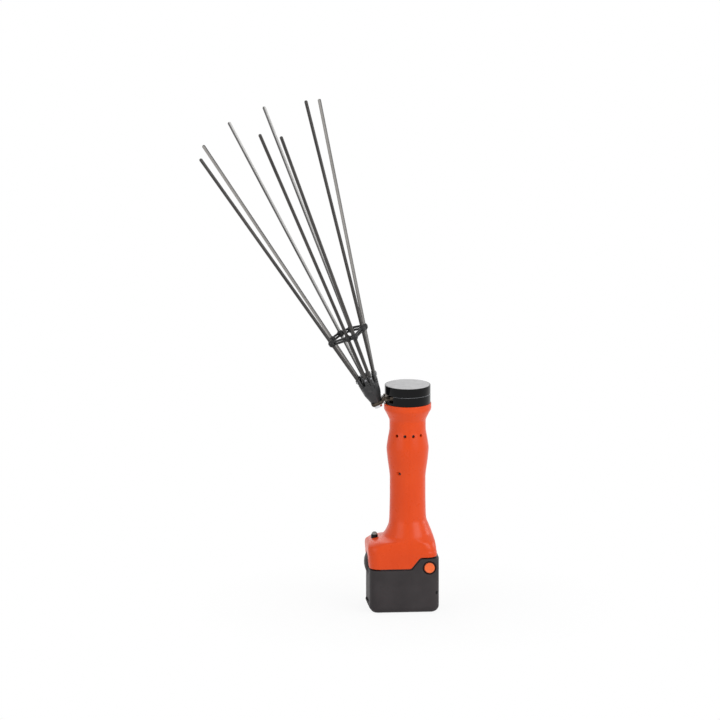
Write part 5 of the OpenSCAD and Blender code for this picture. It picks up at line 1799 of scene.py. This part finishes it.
@dataclass
class BatteryPack:
    """The grey pack that is the tool's foot, with its tongue, finger lip and charge lens."""

    parting: PartingLine
    left: float = 54.0
    right: float = 40.0
    depth: float = 38.0
    corner: float = 12.0
    edge: float = 9.0
    wall: float = 2.5
    rim: float = 0.7
    around: int = 288
    corner_steps: int = 16
    rows: int = 12
    bore_deep: float = 8.0
    release_x: float = 26.5
    release_z: float = 62.6
    bore_r: float = 7.2
    ring_r: float = 9.4
    ring_d: float = 1.0
    # How far the dark ring round each release button sits in; the ring is painted shade of the gap
    gap_shade_set: float = 0.5
    liner_x: tuple[float, float] = (-40.0, 16.5)
    liner_y: tuple[float, float] = (34.7, 35.3)
    liner_lap: float = 2.2
    light_r: float = 2.3
    light_z: float = 27.5
    light_set: float = 0.6
    # Sections along Y with the share of their height over the left face
    tongue_stops: tuple[tuple[float, float], ...] = (
        (-9, 0.05), (-7, 0.4), (-4, 0.75), (0, 0.95), (3, 1), (11, 1), (14, 0.9), (16, 0.6), (17, 0.1))
    lip_stops: tuple[tuple[float, float], ...] = (
        (-17, 0.02), (-13, 0.35), (-9, 0.75), (-5, 1), (5, 1), (9, 0.75), (13, 0.35), (17, 0.02))
    tongue_top: float = 77.0
    tongue_low: float = 44.0
    tongue_out: float = 4.2
    lip_z: float = 12.0

    def plan(self, inset: float) -> np.ndarray:
        """Gives the pack's plan, evenly spaced.

        Args:
            inset: How far it is drawn in.

        Returns:
            The points.
        """
        r = max(self.corner - inset, 0.8)
        x0, x1, y = -self.left + inset, self.right - inset, self.depth - inset
        path = []
        corners = ((x1 - r, r - y, -90), (x1 - r, y - r, 0), (x0 + r, y - r, 90), (x0 + r, r - y, 180))
        for cx, cy, start in corners:
            for k in range(self.corner_steps + 1):
                a = math.radians(start + 90 * k / self.corner_steps)
                path.append((cx + r * math.cos(a), cy + r * math.sin(a)))
        path.append(path[0])
        line = np.array(path)
        run = np.concatenate(([0.0], np.cumsum(np.hypot(*np.diff(line, axis=0).T))))
        stops = np.linspace(0, run[-1], self.around, endpoint=False)
        return np.stack([np.interp(stops, run, line[:, 0]), np.interp(stops, run, line[:, 1])], axis=1)

    def top_line(self, flat: np.ndarray) -> np.ndarray:
        """Gives the height of the pack's top edge at each point of a plan."""
        gap = self.parting.gap
        return np.array([self.parting.height(x, gap, 0.45 * gap) for x in flat[:, 0]])

    def case_shape(self) -> Shape:
        """Builds the case as an open cup with round edges.

        Returns:
            The shape.
        """
        rings: list[np.ndarray] = []
        for k in range(self.rows + 1):
            a = math.radians(90 * k / self.rows)
            flat = self.plan(self.edge * (1 - math.sin(a)))
            rings.append(np.column_stack([flat, np.full(len(flat), self.edge * (1 - math.cos(a)))]))
        flat = self.plan(0.0)
        top = self.top_line(flat)
        for k in range(1, self.rows + 1):
            rings.append(np.column_stack([flat, self.edge + (top - self.rim - self.edge) * k / self.rows]))
        for k in range(1, 5):
            a = math.radians(90 * k / 4)
            inset = self.rim * (1 - math.cos(a))
            ring = self.plan(inset)
            rings.append(np.column_stack([ring, top - self.rim * (1 - math.sin(a))]))
        inner = self.plan(self.wall)
        rings.append(np.column_stack([inner, self.top_line(inner)]))
        rings.append(np.column_stack([inner, np.full(len(inner), self.edge)]))
        rings.append(np.column_stack([self.plan(self.edge), np.full(len(inner), self.wall)]))
        n = self.around
        shape = Shape()
        for ring in rings:
            shape.points.extend(map(tuple, ring))
        last = (len(rings) - 1) * n
        shape.faces += between_rings(len(rings), n)
        shape.faces += [tuple(reversed(range(n))), tuple(range(last, last + n))]
        return shape

    def tongue(self) -> Shape:
        """Builds the tongue that rises into the foot and the finger lip near the bottom.

        Returns:
            The shape.
        """
        back = -self.left + self.wall
        face = -self.left - self.tongue_out
        low, top, left = self.tongue_low, self.tongue_top, -self.left
        outline = rounded(
            [(left + 0.5, low), (face + 3.4, low + 4), (face + 1.5, low + 9), (face + 0.3, low + 14),
             (face, low + 19), (face + 0.4, low + 23.5), (face + 1.8, low + 27.5), (face + 3.6, low + 30.5),
             (face + 5, top), (back, top), (back, low + 5)], [0, 3, 4, 4, 4, 4, 3, 2, 0.5, 0.3, 0])
        shape = self._faded(outline, self.tongue_stops)
        outline = rounded(
            [(left + 0.38 * self.edge, 0.29 * self.edge), (left + 1, 0.4 * self.edge), (left - 0.9, 0.8 * self.edge),
             (left - 2.8, self.lip_z + 0.2), (left - 2.4, self.lip_z + 0.8), (left - 0.6, self.lip_z - 1.8),
             (left + 1.2, self.lip_z - 2.6)], [0, 2, 4, 0.3, 0.3, 0.6, 0])
        return shape.add(self._faded(outline, self.lip_stops))

    def _faded(self, outline: Sequence[Point2], stops: Sequence[tuple[float, float]]) -> Shape:
        """Draws an outline along Y and sinks it into the pack's left face towards its ends.

        Args:
            outline: The closed outline in XZ.
            stops: The sections, each a Y and a share of the outline's height over the face.

        Returns:
            The shape.
        """
        n, left = len(outline), -self.left
        shape = Shape()
        for y, share in stops:
            shape.points.extend((x if x > left else left + (x - left) * share, y, z) for x, z in outline)
        last = (len(stops) - 1) * n
        shape.faces += between_rings(len(stops), n)
        shape.faces += [tuple(reversed(range(n))), tuple(range(last, last + n))]
        return shape

    def release_place(self, side: int) -> Matrix:
        """Gives the place of a release button on the pack's front (-1) or rear (1), with its axis outwards."""
        return toward((self.release_x, side * self.depth, self.release_z), (0, side, 0))

    def light_place(self, out: float) -> Matrix:
        """Gives the place of the charge lens in the front right corner, moved out along its axis.

        Args:
            out: How far it is moved out.

        Returns:
            The place.
        """
        c = self.corner
        way = Vector((1, -1, 0)).normalized()
        centre = Vector((self.right - c, -self.depth + c, self.light_z))
        return toward(centre + way * (c + out), way)

    def build(self, shop: Workshop) -> None:
        """Builds the case with its tongue and finger lip, the charge lens, the dark rings round the release buttons
        and the strips behind the parting gap.

        Args:
            shop: What every sub-assembly needs.
        """
        grey = shop.palette.get(Look.PACK_GREY)
        case = make_mesh("pack_case", self.case_shape())
        lump = make_mesh("pack_lumps", self.tongue())
        smooth(lump, 50)
        hand_over(lump, grey, Body.BATTERY)
        cutters = Shape()
        for side in (-1, 1):
            r, deep, wide_r = self.bore_r, self.bore_deep, self.ring_r
            profile = [(0, -deep), (r, -deep), (r, 4), (0, 4)]
            wide = [(0, -self.ring_d), (wide_r - 0.3, -self.ring_d), (wide_r, 0), (wide_r, 5), (0, 5)]
            place = self.release_place(side)
            combine(case, revolve(profile, 72).moved(place), "DIFFERENCE")
            cutters.add(revolve(wide, 72).moved(place))
        light = [(0, -6), (self.light_r + 0.05, -6), (self.light_r + 0.05, 6), (0, 6)]
        cutters.add(revolve(light, 32).moved(self.light_place(0)))
        combine(case, cutters, "DIFFERENCE")
        smooth(case)
        hand_over(case, grey, Body.BATTERY, ["battery_case"])
        deep = self.wall + self.light_set
        r, wide = self.light_r, self.light_r + 1
        profile = rounded([(0, -deep - 1), (wide, -deep - 1), (wide, -deep), (r, -deep), (r, -0.2), (0, -0.2)],
                          [0, 0.2, 0.2, 0, 0.5, 0])
        lens = make_mesh("charge_lens", revolve(profile, 40).moved(self.light_place(0)))
        smooth(lens)
        hand_over(lens, shop.palette.get(Look.DARK_LENS), Body.BATTERY, ["charge_light"])
        self._build_gap_shade_rings(shop)
        self._build_liner(shop)

    def _build_liner(self, shop: Workshop) -> None:
        """Builds the two dark strips behind the parting gap, so that no light shows through it.

        Args:
            shop: What every sub-assembly needs.
        """
        (start, end), (inner, outer) = self.liner_x, self.liner_y
        xs = [float(x) for x in np.linspace(start, end, 57)]
        low = [(x, self.parting.height(x, self.parting.gap) - self.liner_lap) for x in xs]
        high = [(x, self.parting.height(x) + self.liner_lap) for x in reversed(xs)]
        middle, depth = (inner + outer) / 2, outer - inner
        strips = Shape()
        for side in (-1, 1):
            strips.add(side_prism(low + high, depth).moved(Matrix.Translation((0, side * middle, 0))))
        dark = shop.palette.get(Look.INNER_PLASTIC)
        piece = make_mesh("gap_liner", strips)
        smooth(piece)
        hand_over(piece, dark, Body.BATTERY)

    def _build_gap_shade_rings(self, shop: Workshop) -> None:
        """Builds the dark rings that the release buttons sink into: painted shade of the gap round each button,
        tinted red-brown as a painted reflection of the orange.

        Args:
            shop: What every sub-assembly needs.
        """
        # The dark ring is painted shade of the gap round the button, tinted red-brown as a painted reflection of the
        # orange
        dark_finish = shop.palette.get(Look.SEAL_DARK)
        r, out, top = self.bore_r + 0.05, self.ring_r - 0.05, -self.gap_shade_set
        profile = rounded([(r, -3.6), (out, -3.6), (out, top), (r + 0.9, top - 0.2), (r, top - 0.9)],
                          [0, 0, 0.4, 0.3, 0.2])
        places = [self.release_place(side) for side in (-1, 1)]
        gap_shade_rings = shop.copies.make("release_seals", revolve(profile, 72), places, dark_finish)
        hand_over(gap_shade_rings, dark_finish, Body.BATTERY)


@dataclass
class ReleaseButtons:
    """The two orange buttons that free the pack, each with its plate, stem and latch hook."""

    x: float = 26.5
    z: float = 62.6
    radius: float = 6.9
    face: float = 39.2
    plate_out: float = 35.2
    plate_in: float = 33.2
    stem_r: float = 3.0
    stem_len: float = 10.0
    dish: float = 0.5
    plate_x: tuple[float, float] = (17.4, 28.5)
    plate_half: float = 7.6
    hook_x: tuple[float, float] = (17.5, 24.5)
    hook_y: float = 34.3
    hook_t: float = 2.1
    hook_z: tuple[float, float] = (68.1, 81.6)

    def build(self, shop: Workshop) -> None:
        """Builds both buttons.

        Args:
            shop: What every sub-assembly needs.
        """
        for side, body, end in ((-1, Body.RELEASE_FRONT, "front"), (1, Body.RELEASE_REAR, "rear")):
            profile = rounded(
                [(0, self.plate_in - self.stem_len), (self.stem_r, self.plate_in - self.stem_len),
                 (self.stem_r, self.plate_out - 0.1), (self.radius, self.plate_out - 0.1), (self.radius, self.face),
                 (self.radius - 1.6, self.face), (self.radius - 2.4, self.face - self.dish * 0.7),
                 (0, self.face - self.dish)],
                [0, 0.3, 0, 0, 0.9, 0.5, 1.0, 0], 6)
            cap = revolve(profile, 80).moved(toward((self.x, 0, self.z), (0, side, 0)))
            ys = sorted((side * self.plate_in, side * self.plate_out))
            hooks = sorted((side * (self.hook_y - self.hook_t), side * self.hook_y))
            latch = block((self.plate_x[0], ys[0], self.z - self.plate_half),
                          (self.plate_x[1], ys[1], self.z + self.plate_half))
            latch.add(block((self.hook_x[0], hooks[0], self.hook_z[0]), (self.hook_x[1], hooks[1], self.hook_z[1])))
            piece = make_mesh(f"release_{end}", latch)
            soften(piece, 0.3, 2)
            combine(piece, cap, "UNION")
            smooth(piece)
            hand_over(piece, shop.palette.get(Look.BUTTON_ORANGE), body, [f"release_button_{end}"])


# Works inside

@dataclass
class Works:
    """The CAD nodes whose shape is right and which only get their finish."""

    looks: tuple[tuple[Look, tuple[str, ...]], ...] = (
        (Look.BRIGHT_STEEL, ("cap_screws", "gearbox_screws", "pivot_pin", "output_bearings", "planet_pins",
                             "crank_roller", "release_springs")),
        (Look.MOTOR_STEEL, ("motor_can", "motor_magnets", "ring_gear", "planet_carrier", "crank_disc")),
        (Look.COPPER_CORE, ("motor_armature",)),
        (Look.LIGHT_ALLOY, ("motor_plate", "bearing_nose")),
        (Look.GEAR_BRASS, ("sun_gear", "planet_gear_1", "planet_gear_2", "planet_gear_3")),
        (Look.BRONZE, ("arm_bush",)),
        (Look.CONTACT_BRASS, ("handle_contacts", "battery_contacts")),
        (Look.STRAP_NICKEL, ("cell_straps",)),
        (Look.CELL_WRAP, ("battery_cells",)),
        (Look.INNER_PLASTIC, ("motor_end_cap", "handle_deck", "board_parts", "switch_body", "cell_holders")),
        (Look.BRACE_RUBBER, ("motor_mounts",)),
        (Look.BOARD_GREEN, ("circuit_board",)),
        (Look.LEAD_RED, ("motor_leads",)),
        (Look.LID_GREY, ("battery_lid",)))

    def build(self, shop: Workshop) -> None:
        """Dresses the nodes.

        Args:
            shop: What every sub-assembly needs.
        """
        for look, nodes in self.looks:
            for node in nodes:
                slots = shop.frame["nodes"][node].data.materials
                slots.clear()
                slots.append(shop.palette.get(look))
                log.info("%s: %s", node, look.value.name)


# Studio

@dataclass
class Studio:
    """The pale floor, the soft lights and the camera."""

    azimuth: float = -5.0
    elevation: float = 13.3
    centre: tuple[float, float, float] = (-0.0645, 0.0, 0.344)
    frame_width: float = 0.972
    distance: float = 3.0
    floor_size: float = 6.0
    floor_z: float = -0.0004
    surround: float = 0.42
    floor_clear: float = 0.9
    # Distances from the middle between which the floor's shadow fades out
    shadow_reach: tuple[float, float] = (0.06, 0.3)
    lamp_aim: tuple[float, float, float] = (0.0, 0.0, 0.25)
    # Each lamp's name, place and side in metres, and power in watts
    lamps: tuple[tuple[str, tuple[float, float, float], float, float], ...] = (
        ("key_lamp", (1.3, -1.4, 1.2), 1.4, 21.5), ("fill_lamp", (-1.5, -1.2, 0.9), 1.4, 9.5),
        ("top_lamp", (0.15, -0.4, 1.9), 1.2, 3.0), ("back_lamp", (-0.3, 1.7, 1.1), 1.4, 6.0),
        ("right_lamp", (1.6, 0.5, 0.5), 0.5, 2.5))

    def build(self) -> None:
        """Builds the camera, the floor, the surround and the lamps."""
        scene = bpy.context.scene
        scene.view_settings.view_transform = "Standard"
        self._build_camera(scene)
        self._build_floor()
        self._build_surround(scene)
        for lamp in self.lamps:
            self._build_lamp(*lamp)

    def _build_camera(self, scene: bpy.types.Scene) -> None:
        """Builds the camera at the photograph's angle.

        Args:
            scene: The scene.
        """
        a, e = math.radians(self.azimuth), math.radians(self.elevation)
        back = Vector((math.sin(a) * math.cos(e), -math.cos(a) * math.cos(e), math.sin(e)))
        data = bpy.data.cameras.new("camera")
        data.type, data.ortho_scale = "ORTHO", self.frame_width
        data.clip_start, data.clip_end = 0.01, 50.0
        camera = put("camera", data)
        camera.location = Vector(self.centre) + back * self.distance
        camera.rotation_mode = "QUATERNION"
        camera.rotation_quaternion = (-back).to_track_quat("-Z", "Y")
        scene.camera = camera

    def _build_floor(self) -> None:
        """Builds the floor, which keeps the shadow and is clear to sight, so that the slid-off pack shows."""
        half = self.floor_size / 2
        mesh = bpy.data.meshes.new("floor")
        mesh.from_pydata([(-half, -half, self.floor_z), (half, -half, self.floor_z), (half, half, self.floor_z),
                          (-half, half, self.floor_z)], [], [(0, 1, 2, 3)])
        floor = put("floor", mesh)
        material = bpy.data.materials.new("pale_floor")
        material.use_nodes = True
        wiring = Wiring(material.node_tree)
        nodes = material.node_tree.nodes
        shader, out = nodes["Principled BSDF"], nodes["Material Output"]
        shader.inputs["Base Color"].default_value = (0.93, 0.93, 0.93, 1)
        shader.inputs["Roughness"].default_value = 0.9
        shader.inputs["Specular IOR Level"].default_value = 0.0
        clear = wiring.node("ShaderNodeBsdfTransparent")
        place = wiring.node("ShaderNodeTexCoord").outputs["Object"]
        away = wiring.node("ShaderNodeVectorMath", operation="LENGTH")
        wiring.join(place, away.inputs[0])
        far = wiring.spread(away.outputs["Value"], *self.shadow_reach, self.floor_clear)
        mix = wiring.node("ShaderNodeMixShader")
        path = wiring.node("ShaderNodeLightPath")
        seen = wiring.node("ShaderNodeMath", operation="MULTIPLY")
        wiring.join(far, seen.inputs[0])
        rays = ("Is Camera Ray", "Is Glossy Ray", "Is Transmission Ray", "Is Shadow Ray")
        wiring.join(wiring.any_of(*(path.outputs[ray] for ray in rays)), seen.inputs[1])
        wiring.join(seen.outputs[0], mix.inputs[0])
        wiring.join(shader.outputs["BSDF"], mix.inputs[1])
        wiring.join(clear.outputs["BSDF"], mix.inputs[2])
        wiring.join(mix.outputs["Shader"], out.inputs["Surface"])
        mesh.materials.append(material)

    def _build_surround(self, scene: bpy.types.Scene) -> None:
        """Builds the surround, white where it is seen and softer where it lights.

        Args:
            scene: The scene.
        """
        world = bpy.data.worlds.new("surround")
        scene.world = world
        world.use_nodes = True
        wiring = Wiring(world.node_tree)
        nodes = world.node_tree.nodes
        soft, out = nodes["Background"], nodes["World Output"]
        soft.inputs["Color"].default_value = (1, 1, 1, 1)
        soft.inputs["Strength"].default_value = self.surround
        white = wiring.node("ShaderNodeBackground")
        white.inputs["Color"].default_value = (1, 1, 1, 1)
        white.inputs["Strength"].default_value = 1.0
        path = wiring.node("ShaderNodeLightPath")
        rays = ("Is Camera Ray", "Is Glossy Ray", "Is Transmission Ray")
        mix = wiring.node("ShaderNodeMixShader")
        wiring.join(wiring.any_of(*(path.outputs[ray] for ray in rays)), mix.inputs[0])
        wiring.join(soft.outputs["Background"], mix.inputs[1])
        wiring.join(white.outputs["Background"], mix.inputs[2])
        wiring.join(mix.outputs["Shader"], out.inputs["Surface"])

    def _build_lamp(self, name: str, place: tuple[float, float, float], size: float, power: float) -> None:
        """Builds a square soft lamp that faces the object.

        Args:
            name: The lamp's name.
            place: Where it stands, in metres.
            size: Its side in metres.
            power: Its power in watts.
        """
        data = bpy.data.lights.new(name, "AREA")
        data.size, data.energy = size, power
        lamp = put(name, data)
        lamp.location = place
        lamp.rotation_mode = "QUATERNION"
        lamp.rotation_quaternion = (Vector(self.lamp_aim) - Vector(place)).to_track_quat("-Z", "Y")


def main() -> None:
    """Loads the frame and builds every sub-assembly in order."""
    logging.basicConfig(level=logging.INFO, format="%(name)s %(message)s")
    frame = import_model()
    for leftover in list(bpy.data.objects):
        if leftover.name in ("Cube", "Light", "Camera"):
            bpy.data.objects.remove(leftover)
    shop = Workshop(frame, Palette(), CopyTree(), SweepTree())
    parting = PartingLine()
    Studio().build()
    for assembly in (Grip(parting), DriveHead(), PowerButton(), Lever(), RodFan(), BatteryPack(parting),
                     ReleaseButtons(), Works()):
        assembly.build(shop)


if __name__ == "__main__":
    main()
